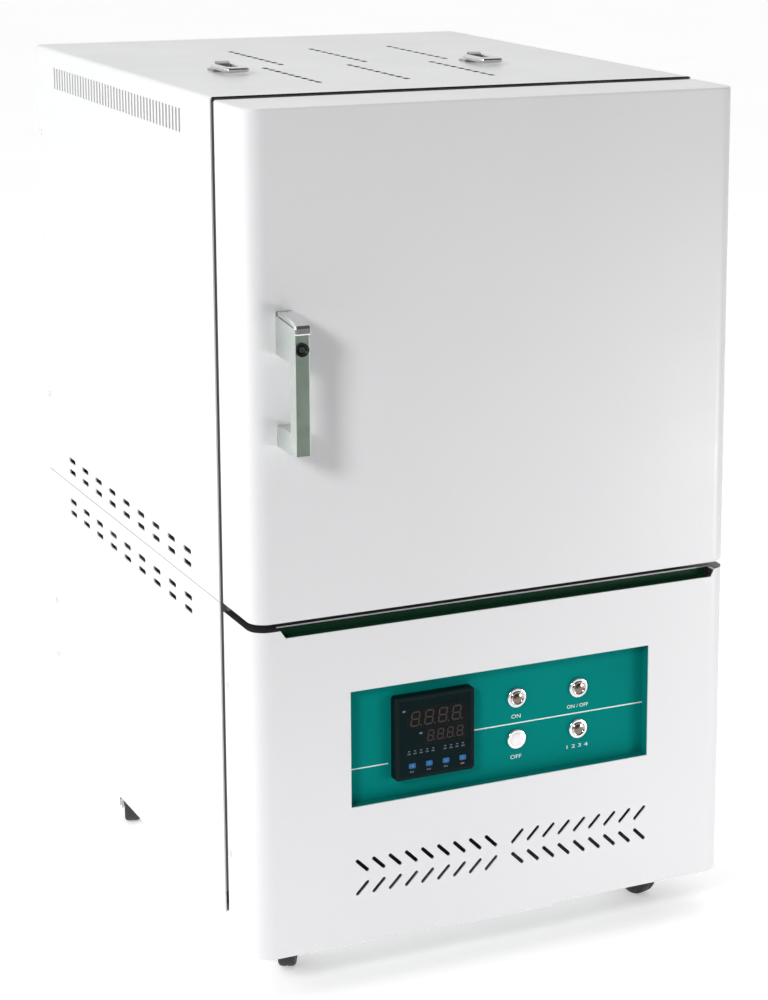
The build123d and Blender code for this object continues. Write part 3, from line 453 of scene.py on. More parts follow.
MATS["teal"] = teal_sheet()
MATS["face"] = smoke_face()
MATS["handle"] = handle_paint()
MATS["ink_white"] = ink("ink_white", (0.80, 0.84, 0.82))
MATS["ink_grey"] = ink("ink_grey", (0.10, 0.12, 0.16))
MATS["ink_pale"] = ink("ink_pale_blue", (0.13, 0.155, 0.20))
MATS["ink_amber"] = ink("ink_amber", (0.30, 0.17, 0.05))
MATS["segment"] = ink("display_segment_off", (0.0058, 0.0044, 0.0041), 0.25)
MATS["display"] = display_glass()
MATS["lens_white"] = lit_cap()
MATS["hub_grey"] = plastic("castor_hub_grey", (0.055, 0.056, 0.058), 0.45, 1100.0, 0.10, spec=0.4)
MATS["paint_shell"] = shell_paint()
MATS["paint_panel"] = panel_paint()
# button caps: chrome dimmed and warm-tinted, with a dark brown inner disc, as painted reflection of a dim surrounding
# room
MATS["button_steel"] = chrome("button_cap_steel", (0.56, 0.53, 0.51), 0.10)
MATS["button_smoke"] = chrome("button_bronze_disc", (0.22, 0.175, 0.145), 0.10)
MATS["lock_core"] = brushed("lock_core_nickel", (0.10, 0.13, 0.12), 0.35, (1, 60, 1))

ASSIGN = {
    "base_frame": "paint_base", "lower_shell": "paint", "upper_shell": "paint_shell", "rear_panel": "paint",
    "front_frame": "paint_frame", "strike_plate": "zinc", "deck_plate": "galv", "inner_casing": "galv",
    "fibre_boards": "fibre", "fibre_back_block": "fibre_dark", "hearth_plate": "fired",
    "heating_elements": "wire", "element_bushes": "bush", "element_terminals": "zinc", "thermocouple": "alumina",
    "heat_sink": "alu", "ssr_module": "relay", "terminal_block": "block", "cable_gland": "black",
    "lower_front_panel": "paint_panel", "channel_strip": "green", "control_plate": "teal",
    "controller_case": "case", "controller_face": "face", "button_bodies": "chrome",
    "hinge_leaves_casing": "zinc", "casing_screws": "zinc", "lifting_ring_bases": "zinc_dark",
    "castor_plates": "zinc", "door_skin": "paint_door", "door_insulation": "fibre",
    "door_inner_plate": "stainless", "door_plug": "fibre_dark", "door_gasket": "rope", "latch_guide": "zinc",
    "handle_body": "handle", "lock_body": "black_gloss", "hinge_leaves_door": "zinc", "door_screws": "zinc",
    "latch_bolt": "zinc", "handle_lever": "chrome", "lock_core": "lock_core",
    "lifting_ring_left": "chrome_ring", "lifting_ring_right": "chrome_ring",
    "button_cap_1": "chrome", "button_cap_2": "chrome", "button_cap_3": "lens_white", "button_cap_4": "chrome",
}
for i in range(1, 5):
    ASSIGN["controller_key_%d" % i] = "blue_key"
for k in ("fl", "fr", "rl", "rr"):
    ASSIGN["castor_fork_" + k] = "zinc"
    ASSIGN["castor_wheel_" + k] = "rubber"
for name, ob in NODES.items():
    ob.data.materials.clear()
    ob.data.materials.append(MATS[ASSIGN[name]])


# ---------------------------------------------------------------- mesh helpers
def obj_from(bm, name, mat, body, smooth=None, bevel=None, segs=2):
    me = bpy.data.meshes.new(name)
    bmesh.ops.recalc_face_normals(bm, faces=bm.faces)
    bm.to_mesh(me)
    bm.free()
    ob = bpy.data.objects.new(name, me)
    SCENE.collection.objects.link(ob)
    me.materials.append(MATS[mat])
    if bevel:
        md = ob.modifiers.new("edge", "BEVEL")
        md.width = bevel
        md.segments = segs
        md.limit_method = "ANGLE"
        md.angle_limit = math.radians(30)
        md.harden_normals = False
    if smooth is not None:
        for p in me.polygons:
            p.use_smooth = True
        try:
            me.set_sharp_from_angle(angle=math.radians(smooth))
        except AttributeError:
            pass
    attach(ob, body)
    return ob


def add_prism(bm, pts, axis, lo, hi):
    """Closed prism: pts are (u, v) metres; axis 'y' maps (u, v) to x, z; 'x' to y, z; 'z' to x, y."""
    def at(u, v, w):
        return {"y": (u, w, v), "x": (w, u, v), "z": (u, v, w)}[axis]
    a = [bm.verts.new(at(u, v, lo)) for u, v in pts]
    b = [bm.verts.new(at(u, v, hi)) for u, v in pts]
    n = len(pts)
    bm.faces.new(a)
    bm.faces.new(b[::-1])
    for i in range(n):
        bm.faces.new((a[i], b[i], b[(i + 1) % n], a[(i + 1) % n]))


def round_rect(cx, cy, w, h, r, n=5):
    pts = []
    for qx, qy, a0 in ((1, 1, 0), (-1, 1, 90), (-1, -1, 180), (1, -1, 270)):
        for i in range(n + 1):
            a = math.radians(a0 + 90 * i / n)
            pts.append((cx + qx * (w / 2 - r) + r * math.cos(a), cy + qy * (h / 2 - r) + r * math.sin(a)))
    return pts


def lathe(bm, profile, centre, axis, segs=48, spoke=None):
    """Turns profile [(along, radius), ...] about axis through centre. Ends at radius 0 close to a point.
    spoke(angle, along, radius) may return a new radius."""
    ax = Vector(axis).normalized()
    ref = Vector((0, 0, 1)) if abs(ax.z) < 0.9 else Vector((1, 0, 0))
    e1 = ax.cross(ref).normalized()
    e2 = ax.cross(e1)
    rings = []
    for along, r in profile:
        if r < 1e-7:
            rings.append([bm.verts.new(Vector(centre) + ax * along)])
            continue
        ring = []
        for i in range(segs):
            a = 2 * math.pi * i / segs
            rr = spoke(a, along, r) if spoke else r
            ring.append(bm.verts.new(Vector(centre) + ax * along + (e1 * math.cos(a) + e2 * math.sin(a)) * rr))
        rings.append(ring)
    for p, q in zip(rings, rings[1:]):
        if len(p) == 1 and len(q) == 1:
            continue
        for i in range(segs):
            j = (i + 1) % segs
            if len(p) == 1:
                bm.faces.new((p[0], q[j], q[i]))
            elif len(q) == 1:
                bm.faces.new((p[i], p[j], q[0]))
            else:
                bm.faces.new((p[i], p[j], q[j], q[i]))
    if len(rings[0]) > 1 and len(rings[-1]) > 1 and profile[0] != profile[-1]:
        bm.faces.new(rings[0])
        bm.faces.new(rings[-1][::-1])


def tube(bm, pts, r, segs=10, closed=False):
    """Sweeps a circle along points with parallel transport."""
    pts = [Vector(p) for p in pts]
    n = len(pts)
    tang = []
    for i in range(n):
        a = pts[(i - 1) % n] if closed or i > 0 else pts[i]
        b = pts[(i + 1) % n] if closed or i < n - 1 else pts[i]
        tang.append((b - a).normalized())
    ref = Vector((0, 0, 1)) if abs(tang[0].z) < 0.9 else Vector((1, 0, 0))
    nrm = (ref - tang[0] * ref.dot(tang[0])).normalized()
    rings = []
    for i in range(n):
        nrm = (nrm - tang[i] * nrm.dot(tang[i])).normalized()
        bi = tang[i].cross(nrm)
        rings.append([bm.verts.new(pts[i] + (nrm * math.cos(2 * math.pi * k / segs) + bi * math.sin(2 * math.pi * k / segs)) * r) for k in range(segs)])
    m = n if closed else n - 1
    for i in range(m):
        p, q = rings[i], rings[(i + 1) % n]
        for k in range(segs):
            l = (k + 1) % segs
            bm.faces.new((p[k], p[l], q[l], q[k]))
    if not closed:
        bm.faces.new(rings[0][::-1])
        bm.faces.new(rings[-1])


def text_mesh(body, size, depth):
    """Built-in font outline as a mesh in its own x, y plane, centred."""
    cu = bpy.data.curves.new("t", "FONT")
    cu.body = body
    cu.size = size
    cu.extrude = depth / 2
    cu.align_x = "CENTER"
    cu.align_y = "CENTER"
    cu.resolution_u = 4
    ob = bpy.data.objects.new("t", cu)
    SCENE.collection.objects.link(ob)
    bpy.context.view_layer.update()
    dg = bpy.context.evaluated_depsgraph_get()
    me = bpy.data.meshes.new_from_object(ob.evaluated_get(dg))
    bpy.data.objects.remove(ob)
    return me


def label(name, text, x, y_face, z, height, mat, body, width=None):
    """Raised print on a face that looks towards -y. x, y_face, z in part millimetres."""
    me = text_mesh(text, height / 1000 * 1.35, 0.00006)
    xs = [v.co.x for v in me.vertices]
    ys = [v.co.y for v in me.vertices]
    w, h = max(xs) - min(xs), max(ys) - min(ys)
    cx, cy = (max(xs) + min(xs)) / 2, (max(ys) + min(ys)) / 2
    sx = (width / 1000 / w) if width else (height / 1000 / h)
    sy = height / 1000 / h
    c = P(x, y_face, z)
    for v in me.vertices:
        v.co = Vector((c.x + (v.co.x - cx) * sx, c.y - 0.00004 - v.co.z, c.z + (v.co.y - cy) * sy))
    me.update()
    ob = bpy.data.objects.new(name, me)
    SCENE.collection.objects.link(ob)
    me.materials.clear()
    me.materials.append(MATS[mat])
    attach(ob, body)
    return ob


def mm(pts):
    return [(x / 1000 + OFF[0], z / 1000 + OFF[2]) for x, z in pts]


def flat_on_front(name, shapes, y0, y1, mat, body, bevel=None, smooth=None):
    """Prisms whose outlines are given in part x, z millimetres and which run from y0 to y1."""
    bm = bmesh.new()
    for s in shapes:
        add_prism(bm, mm(s), "y", y0 / 1000 + OFF[1], y1 / 1000 + OFF[1])
    return obj_from(bm, name, mat, body, smooth=smooth, bevel=bevel)


# ---------------------------------------------------------------- control panel print
RECESS = 14.0
flat_on_front("panel_line_left", [[(110.0, 196.9), (159.5, 196.9), (159.5, 198.2), (110.0, 198.2)]], RECESS - 0.06, RECESS + 0.2, "ink_white", "casing")
flat_on_front("panel_line_right", [[(256.5, 218.6), (478.0, 218.6), (478.0, 220.0), (256.5, 220.0)]], RECESS - 0.06, RECESS + 0.2, "ink_white", "casing")
label("button_print_1", "ON", 316, RECESS, 227.5, 4.6, "ink_white", "casing", 11.5)
label("button_print_2", "ON / OFF", 394, RECESS, 228.0, 4.2, "ink_white", "casing", 27)
label("button_print_3", "OFF", 316, RECESS, 179.5, 4.6, "ink_white", "casing", 13.5)
label("button_print_4", "1 2 3 4", 394, RECESS, 180.0, 4.2, "ink_white", "casing", 27)

# ---------------------------------------------------------------- controller
FACE_Y = RECESS - 11.8
CX, CZ = 211.0, 227.0      # centre of the instrument


def frame_loop(bm, outer, inner, lo, hi):
    """A ring between two outlines with the same number of points, in x, z, from lo to hi in y."""
    n = len(outer)
    vs = []
    for pts in (outer, inner):
        for y in (lo, hi):
            vs.append([bm.verts.new((u, y, v)) for u, v in pts])
    oa, ob_, ia, ib = vs
    for i in range(n):
        j = (i + 1) % n
        bm.faces.new((oa[i], oa[j], ob_[j], ob_[i]))
        bm.faces.new((ia[j], ia[i], ib[i], ib[j]))
        bm.faces.new((oa[j], oa[i], ia[i], ia[j]))
        bm.faces.new((ob_[i], ob_[j], ib[j], ib[i]))


for nm, (x0, x1, z0, z1) in {"display_upper": (CX - 33.0, CX + 38.0, CZ + 10.5, CZ + 32.5), "display_lower": (CX - 12.0, CX + 38.0, CZ - 9.0, CZ + 8.5)}.items():
    cx, cz, w, h = (x0 + x1) / 2, (z0 + z1) / 2, x1 - x0, z1 - z0
    flat_on_front(nm + "_window", [round_rect(cx, cz, w, h, 1.2)], FACE_Y - 0.10, FACE_Y + 0.3, "display", "casing", bevel=0.00006)
    bm = bmesh.new()
    frame_loop(bm, mm(round_rect(cx, cz, w + 1.4, h + 1.4, 1.9)), mm(round_rect(cx, cz, w, h, 1.2)), (FACE_Y - 0.18) / 1000 + OFF[1], (FACE_Y + 0.3) / 1000 + OFF[1])
    obj_from(bm, nm + "_rim", "case", "casing", bevel=0.00006)


def digit_segments(cx, cz, w, h, t, slant=0.12):
    """Seven bevelled bars of one digit plus its point, as outlines in x, z."""
    def bar(ax, az, bx, bz):
        dx, dz = bx - ax, bz - az
        L = math.hypot(dx, dz)
        ux, uz = dx / L, dz / L
        nx, nz = -uz, ux
        g = t * 0.58
        raw = [(ax + ux * g * 0.35, az + uz * g * 0.35), (ax + ux * g + nx * t / 2, az + uz * g + nz * t / 2), (bx - ux * g + nx * t / 2, bz - uz * g + nz * t / 2),
               (bx - ux * g * 0.35, bz - uz * g * 0.35), (bx - ux * g - nx * t / 2, bz - uz * g - nz * t / 2), (ax + ux * g - nx * t / 2, az + uz * g - nz * t / 2)]
        return [(cx + x + slant * z, cz + z) for x, z in raw]
    hw, hh = w / 2, h / 2
    out = [bar(-hw, hh, hw, hh), bar(-hw, 0, hw, 0), bar(-hw, -hh, hw, -hh), bar(-hw, 0, -hw, hh), bar(hw, 0, hw, hh), bar(-hw, -hh, -hw, 0), bar(hw, -hh, hw, 0)]
    px, pz = hw + t * 1.5, -hh
    out.append([(cx + px + slant * pz + t * 0.6 * math.cos(a), cz + pz + t * 0.6 * math.sin(a)) for a in [2 * math.pi * i / 12 for i in range(12)]])
    return out


segs = []
for i in range(4):
    segs += digit_segments(CX - 23.8 + 16.6 * i, CZ + 21.5, 9.2, 15.6, 1.9)
flat_on_front("display_upper_digits", segs, FACE_Y - 0.14, FACE_Y - 0.02, "segment", "casing")
segs = []
for i in range(4):
    segs += digit_segments(CX - 5.4 + 11.8 * i, CZ - 0.2, 6.4, 11.4, 1.4)
flat_on_front("display_lower_digits", segs, FACE_Y - 0.14, FACE_Y - 0.02, "segment", "casing")
flat_on_front("display_marks", [round_rect(CX - 37.4, CZ + 31.8, 3.6, 2.0, 0.5), round_rect(CX - 17.2, CZ + 4.1, 3.6, 2.0, 0.5)], FACE_Y - 0.06, FACE_Y + 0.2, "ink_pale", "casing")
marks, lamps = [], []
for i in range(10):
    x = CX - 31.5 + 7.25 * i
    if i == 5:
        continue
    lamps.append(round_rect(x, CZ - 15.3, 2.6, 1.2, 0.4, 3))
    for j in range(3):
        marks.append([(x - 1.7 + 1.25 * j, CZ - 19.2), (x - 0.9 + 1.25 * j, CZ - 19.2), (x - 0.9 + 1.25 * j, CZ - 17.6), (x - 1.7 + 1.25 * j, CZ - 17.6)])
flat_on_front("indicator_lamps", lamps, FACE_Y - 0.05, FACE_Y + 0.2, "ink_grey", "casing")
flat_on_front("indicator_marks", marks, FACE_Y - 0.05, FACE_Y + 0.2, "ink_pale", "casing")
marks = []
for kx in (183.0, 203.4, 223.8, 244.2):
    for j in range(3):
        marks.append([(kx - 2.4 + 1.7 * j, CZ - 40.1), (kx - 1.3 + 1.7 * j, CZ - 40.1), (kx - 1.3 + 1.7 * j, CZ - 38.3), (kx - 2.4 + 1.7 * j, CZ - 38.3)])
flat_on_front("key_marks", marks[:9], FACE_Y - 0.05, FACE_Y + 0.2, "ink_grey", "casing")
flat_on_front("key_marks_amber", marks[9:], FACE_Y - 0.05, FACE_Y + 0.2, "ink_amber", "casing")
bm = bmesh.new()
frame_loop(bm, mm(round_rect(CX, CZ, 87.9, 87.9, 2.0)), mm(round_rect(CX, CZ, 86.2, 86.2, 1.4)), (FACE_Y - 0.12) / 1000 + OFF[1], (FACE_Y + 0.4) / 1000 + OFF[1])
obj_from(bm, "controller_face_lip", "case", "casing", bevel=0.0001)

GLYPH_Y = 1.4
for i, kx in enumerate((183.0, 203.4, 223.8, 244.2)):
    kz = 194.8
    if i == 0:
        shapes = [[(kx + 1.4, kz + 1.6), (kx - 1.6, kz), (kx + 1.4, kz - 1.6)]]
    elif i == 1:
        shapes = [[(kx - 1.7, kz + 1.1), (kx, kz - 1.7), (kx + 1.7, kz + 1.1)]]
    elif i == 2:
        shapes = [[(kx - 1.7, kz - 1.1), (kx + 1.7, kz - 1.1), (kx, kz + 1.7)]]
    else:
        ring_o = [(kx + 1.7 * math.cos(a), kz + 1.7 * math.sin(a)) for a in [math.radians(40 + 28 * k) for k in range(11)]]
        ring_i = [(kx + 1.05 * math.cos(a), kz + 1.05 * math.sin(a)) for a in [math.radians(40 + 28 * k) for k in range(11)]]
        shapes = [ring_o + ring_i[::-1]]
    flat_on_front("key_glyph_%d" % (i + 1), shapes, GLYPH_Y - 0.05, GLYPH_Y + 0.2, "ink_pale", "key_%d" % (i + 1))

# ---------------------------------------------------------------- push buttons
n = 0
for z in (250.0, 201.0):
    for x in (316.0, 394.0):
        n += 1
        c = P(x, 0, z)
        prof = [(0.0182, 0.0), (0.0182, 0.0079)]
        if n == 3:
            prof += [(0.0108, 0.0080), (0.0100, 0.0076), (0.0096, 0.0066), (0.0093, 0.0048), (0.0091, 0.0026), (0.0090, 0.0)]
        else:
            prof += [(0.0106, 0.0080), (0.0096, 0.0077), (0.0092, 0.0071), (0.0094, 0.0064), (0.0100, 0.0059), (0.0098, 0.0052), (0.0094, 0.0036), (0.0092, 0.0018), (0.00915, 0.0)]
        bm = bmesh.new()
        lathe(bm, prof, c, (0, 1, 0), 64)
        if n != 3:
            # faces of the inner disc take the dark brown painted reflection
            for f in bm.faces:
                q = f.calc_center_median() - c
                if q.y < 0.012 and math.hypot(q.x, q.z) < 0.0056:
                    f.material_index = 1
        cap = obj_from(bm, "button_dome_%d" % n, "lens_white" if n == 3 else "button_steel", "button_%d" % n, smooth=38)
        if n != 3:
            cap.data.materials.append(MATS["button_smoke"])
        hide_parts("button_cap_%d" % n)

# ---------------------------------------------------------------- screws and bolts
W, H, DEPTH = 580.0, 930.0, 757.0
HINGE_Z = (455.0, 815.0)
CASTORS = {"fl": (57.0, 68.0, (0.45, 0.8930)), "fr": (523.0, 68.0, (-0.3, 0.9539)),
           "rl": (50.0, 600.0, (-0.3, -0.9539)), "rr": (530.0, 600.0, (0.34, -0.9404))}
RING_X, RING_Y = (103.0, 421.0), 352.0


def basis(n):
    n = Vector(n).normalized()
    ref = Vector((0, 0, 1)) if abs(n.z) < 0.9 else Vector((1, 0, 0))
    e1 = n.cross(ref).normalized()
    return e1, n.cross(e1), n


def add_screw(bm, c, n, R, h, rs, ls, idx=0, turn=0.4, segs=28):
    """Pan-head screw with a cross recess: head from c along n, shank the other way. Millimetres in, metres out."""
    e1, e2, n = basis(n)
    e1, e2 = e1 * math.cos(turn) + e2 * math.sin(turn), e2 * math.cos(turn) - e1 * math.sin(turn)
    before = len(bm.faces)

    def pt(u, v, w):
        return bm.verts.new(c + (e1 * u + e2 * v + n * w) / 1000)

    rings = []
    for r, w in ((0.60 * R, h), (0.80 * R, 0.90 * h), (0.94 * R, 0.66 * h), (R, 0.34 * h), (R, 0.0), (rs, 0.0), (rs, -ls + 0.5), (rs * 0.62, -ls)):
        rings.append([pt(r * math.cos(2 * math.pi * i / segs), r * math.sin(2 * math.pi * i / segs), w) for i in range(segs)])
    for a, b in zip(rings, rings[1:]):
        for i in range(segs):
            j = (i + 1) % segs
            bm.faces.new((a[i], a[j], b[j], b[i]))
    bm.faces.new(rings[-1])
    L, t = 0.44 * R, 0.13 * R
    cross = [(L, -t), (L, t), (t, t), (t, L), (-t, L), (-t, t), (-L, t), (-L, -t), (-t, -t), (-t, -L), (t, -L), (t, -t)]
    up = [pt(u, v, h) for u, v in cross]
    lo = [pt(u * 0.62, v * 0.62, h - 0.62 * h) for u, v in cross]
    edges = []
    for loop in (rings[0], up):
        for i in range(len(loop)):
            pair = (loop[i], loop[(i + 1) % len(loop)])
            edges.append(bm.edges.get(pair) or bm.edges.new(pair))
    bmesh.ops.triangle_fill(bm, use_beauty=True, use_dissolve=False, edges=edges)
    for i in range(12):
        j = (i + 1) % 12
        bm.faces.new((up[i], up[j], lo[j], lo[i]))
    bm.faces.new(lo)
    bm.faces.ensure_lookup_table()
    for f in bm.faces[before:]:
        f.material_index = idx


def add_hex_bolt(bm, c, n, R, h, rs, ls, idx=0):
    """Hexagon bolt with a chamfered head and a washer face."""
    e1, e2, n = basis(n)
    rings = []

    def ring(r, w, six):
        k = 24
        out = []
        for i in range(k):
            a = 2 * math.pi * i / k
            q = (a + math.pi / 6) % (math.pi / 3) - math.pi / 6
            rr = r * math.cos(math.pi / 6) / math.cos(q) if six else r
            out.append(bm.verts.new(c + (e1 * math.cos(a) * rr + e2 * math.sin(a) * rr + n * w) / 1000))
        return out

    for r, w, six in ((0.80 * R, h, False), (0.99 * R, 0.86 * h, True), (R, 0.70 * h, True), (R, 0.10 * h, True), (0.86 * R, 0.0, False), (rs, 0.0, False), (rs, -ls, False)):
        rings.append(ring(r, w, six))
    for a, b in zip(rings, rings[1:]):
        for i in range(24):
            j = (i + 1) % 24
            bm.faces.new((a[i], a[j], b[j], b[i]))
    bm.faces.new(rings[0][::-1])
    bm.faces.new(rings[-1])
    bm.faces.ensure_lookup_table()


bm = bmesh.new()
for y, z in ((84.0, 95.0), (84.0, 290.0), (745.0, 126.0), (745.0, 201.0), (745.0, 480.0), (745.0, 820.0)):
    add_screw(bm, P(0, y, z), (-1, 0, 0), 3.8, 1.75, 2.0, 6.0, 1, 0.3 + z)
    add_screw(bm, P(W, y, z), (1, 0, 0), 3.8, 1.75, 2.0, 6.0, 1, 0.9 + z)
for hz in HINGE_Z:
    for y in (122.0, 140.0):
        add_screw(bm, P(W + 3, y, hz - 15), (1, 0, 0), 3.8, 1.75, 2.0, 9.0, 0, y)
for i, (x, z) in enumerate(((12.0, 40.0), (W - 12, 40.0), (12.0, 350.0), (W - 12, 350.0), (12.0, 420.0), (W - 12, 420.0), (12.0, 660.0),
                            (W - 12, 660.0), (12.0, 908.0), (W - 12, 908.0), (W / 2, 908.0), (W / 2, 40.0))):
    add_screw(bm, P(x, DEPTH, z), (0, 1, 0), 3.8, 1.75, 2.0, 6.0, 0, 0.7 * i)
for rx in RING_X:
    for dx in (-6.0, 6.0):
        add_screw(bm, P(rx + dx, RING_Y + 14.0, H + 2.5), (0, 0, 1), 3.4, 1.75, 2.0, 10.5, 0, rx + dx)
for px, py, d in CASTORS.values():
    for sx in (-22.0, 22.0):
        for sy in (-22.0, 22.0):
            add_hex_bolt(bm, P(px + sx, py + sy, 15.5), (0, 0, -1), 5.2, 2.0, 3.0, 14.5)
screws = obj_from(bm, "casing_screws_detailed", "zinc", "casing", smooth=32)
screws.data.materials.append(MATS["paint"])
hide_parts("casing_screws")
bm = bmesh.new()
for hz in HINGE_Z:
    for y in (52.0, 72.0):
        add_screw(bm, P(W + 3, y, hz + 15.25), (1, 0, 0), 3.8, 1.75, 2.0, 9.0, 0, y)
for z in (586.0, 680.0):
    add_screw(bm, P(39.0, 1.5, z), (0, 1, 0), 4.5, 3.4, 2.5, 14.4, 0, z)
screws = obj_from(bm, "door_screws_detailed", "zinc", "door", smooth=32)
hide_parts("door_screws")

# ---------------------------------------------------------------- castor wheels
for k, (px, py, d) in CASTORS.items():
    n = math.hypot(*d)
    dx, dy = d[0] / n, d[1] / n
    c = P(px + 23.0 * dx, py + 23.0 * dy, -27.0)
    ax = (-dy, dx, 0)
    half = [(0.0090, 0.0166), (0.0097, 0.0174), (0.0099, 0.0190), (0.0099, 0.0206), (0.0095, 0.0224), (0.0084, 0.0240), (0.0068, 0.0248), (0.0045, 0.02498), (0.0014, 0.0250), (0.0008, 0.0246)]
    loop = half + [(-a, r) for a, r in half[::-1]]
    inner = [(-0.0090, 0.0158), (0.0090, 0.0158)]
    bm = bmesh.new()
    lathe(bm, loop + inner + [loop[0]], c, ax, 56)
    bmesh.ops.remove_doubles(bm, verts=bm.verts, dist=1e-7)
    tyre = obj_from(bm, "castor_tyre_" + k, "rubber", "wheel_" + k, smooth=40)
    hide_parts("castor_wheel_" + k)
    bm = bmesh.new()
    web = [(0.0106, 0.0031), (0.0106, 0.0064), (0.0102, 0.0069), (0.0072, 0.0074), (0.0064, 0.0090), (0.0062, 0.0136), (0.0070, 0.0148), (0.0092, 0.0151), (0.0092, 0.0159),
           (-0.0092, 0.0159), (-0.0092, 0.0151), (-0.0070, 0.0148), (-0.0062, 0.0136), (-0.0064, 0.0090), (-0.0072, 0.0074), (-0.0102, 0.0069), (-0.0106, 0.0064), (-0.0106, 0.0031), (0.0106, 0.0031)]
    lathe(bm, web, c, ax, 56)
    e1, e2, an = basis(ax)
    for side in (-1, 1):
        for i in range(6):
            a = math.pi / 3 * i
            u = e1 * math.cos(a) + e2 * math.sin(a)
            v = e2 * math.cos(a) - e1 * math.sin(a)
            q = []
            for r, t in ((0.0070, 0.0010), (0.0152, 0.0007)):
                for w in (0.0060, 0.0086):
                    for sg in (-1, 1):
                        q.append(bm.verts.new(c + u * r + v * t * sg + an * side * w))
            for f in ((0, 1, 3, 2), (4, 6, 7, 5), (0, 4, 5, 1), (2, 3, 7, 6), (0, 2, 6, 4), (1, 5, 7, 3)):
                bm.faces.new([q[j] for j in f])
    bmesh.ops.remove_doubles(bm, verts=bm.verts, dist=1e-7)
    hub = obj_from(bm, "castor_hub_" + k, "hub_grey", "wheel_" + k, smooth=35)

# ---------------------------------------------------------------- wound heating coils
EL_Z = [560.0 + 37.6 * i for i in range(6)]


def coil_path(ex):
    """Centre line of one serpentine in part millimetres: six passes joined by half-round bends."""
    pts = []
    rb = (EL_Z[1] - EL_Z[0]) / 2
    y0, y1, pad = 190.0, 524.0, 12.0
    for i, z in enumerate(EL_Z):
        a, b = (y1 + pad if i == 0 else y1, y0) if i % 2 == 0 else (y0, y1 + pad if i == 5 else y1)
        m = 60
        pts += [(ex, a + (b - a) * j / m, z) for j in range(m + 1)]
        if i < 5:
            sgn = -1 if i % 2 == 0 else 1
            yb = y0 if i % 2 == 0 else y1
            for j in range(1, 12):
                t = math.pi * j / 12
                pts.append((ex, yb + sgn * rb * math.sin(t), z + rb - rb * math.cos(t)))
    return pts


def wound(bm, pts, radius, wire, pitch, per=9, segs=5):
    """A wire of radius wire wound at that radius and pitch round the path."""
    pts = [Vector(q) for q in pts]
    acc = [0.0]
    for a, b in zip(pts, pts[1:]):
        acc.append(acc[-1] + (b - a).length)
    total = acc[-1]
    count = int(total / pitch * per)
    side = Vector((1, 0, 0))
    out, k = [], 0
    for i in range(count + 1):
        t = total * i / count
        while k < len(acc) - 2 and acc[k + 1] < t:
            k += 1
        f = (t - acc[k]) / max(1e-9, acc[k + 1] - acc[k])
        c = pts[k].lerp(pts[k + 1], f)
        tg = (pts[k + 1] - pts[k]).normalized()
        up = tg.cross(side).normalized()
        a = 2 * math.pi * t / pitch
        out.append(P(*(c + (side * math.cos(a) + up * math.sin(a)) * radius)))
    tube(bm, out, wire / 1000, segs)


bm = bmesh.new()
for ex in (174.0, 406.0):
    path = coil_path(ex)
    wound(bm, path, 1.95, 0.5, 2.6)
    for z in (EL_Z[0], EL_Z[-1]):
        tube(bm, [P(ex, y, z) for y in (533.0, 536.0, 560.0, 640.0, 700.0, 705.5)], 0.00235, 14)
coils = obj_from(bm, "heating_coils", "wire", "casing", smooth=60)
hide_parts("heating_elements")

# ---------------------------------------------------------------- cable gland with fluted nut
bm = bmesh.new()
gc = P(490.0, DEPTH, 90.0)


def flutes(a, along, r):
    if 0.0125 < along < 0.0188 and r > 0.0105:
        return r - 0.0007 * (0.5 + 0.5 * math.cos(18 * a)) ** 2
    return r


def hexed(a, along, r):
    q = (a + math.pi / 6) % (math.pi / 3) - math.pi / 6
    return r * math.cos(math.pi / 6) / math.cos(q)


lathe(bm, [(0.0060, 0.0060), (0.0060, 0.0112), (0.0070, 0.0119), (0.0128, 0.0119), (0.0134, 0.0116), (0.0180, 0.0116), (0.0192, 0.0104), (0.0200, 0.0086), (0.0200, 0.0066), (0.0186, 0.0060), (0.0060, 0.0060)],
      gc, (0, 1, 0), 72, flutes)
lathe(bm, [(0.0, 0.0060), (0.0, 0.0132), (0.0008, 0.01385), (0.0052, 0.01385), (0.0060, 0.0132), (0.0060, 0.0060), (0.0, 0.0060)], gc, (0, 1, 0), 72, lambda a, l, r: hexed(a, l, r) if r > 0.007 else r)
lathe(bm, [(-0.0080, 0.0060), (-0.0080, 0.0132), (-0.0073, 0.01385), (-0.0028, 0.01385), (-0.0020, 0.0132), (-0.0020, 0.0100), (0.0002, 0.0100), (0.0002, 0.0060), (-0.0080, 0.0060)], gc, (0, 1, 0), 72,
      lambda a, l, r: hexed(a, l, r) if r > 0.0105 else r)
bmesh.ops.remove_doubles(bm, verts=bm.verts, dist=1e-7)
gland = obj_from(bm, "cable_gland_fluted", "black", "casing", smooth=35)
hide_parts("cable_gland")

# ---------------------------------------------------------------- bent wire rings on the roof
for k, rx in (("left", RING_X[0]), ("right", RING_X[1])):
    bm = bmesh.new()
    path = [P(x, y, H + 6.5) for x, y in round_rect(rx, RING_Y - 25.0, 24.0, 50.0, 4.2, 6)]
    tube(bm, path, 0.00338, 18, closed=True)
    ring = obj_from(bm, "ring_bent_" + k, "chrome_ring", "ring_" + k, smooth=60)
    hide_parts("lifting_ring_" + k)

# ---------------------------------------------------------------- glass rope round the plug
bm = bmesh.new()
for off in (14.0, 19.0, 24.0):
    path = [P(x, 91.75, z) for x, z in round_rect(290.0, 654.0, 250.0 + 2 * off, 250.0 + 2 * off, 9.0, 6)]
    e = []
    for a, b in zip(path, path[1:] + path[:1]):
        n = max(1, int((b - a).length / 0.004))
        e += [a.lerp(b, i / n) for i in range(n)]
    tube(bm, e, 0.0018, 9, closed=True)
rope = obj_from(bm, "door_rope", "rope", "door", smooth=60)
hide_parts("door_gasket")

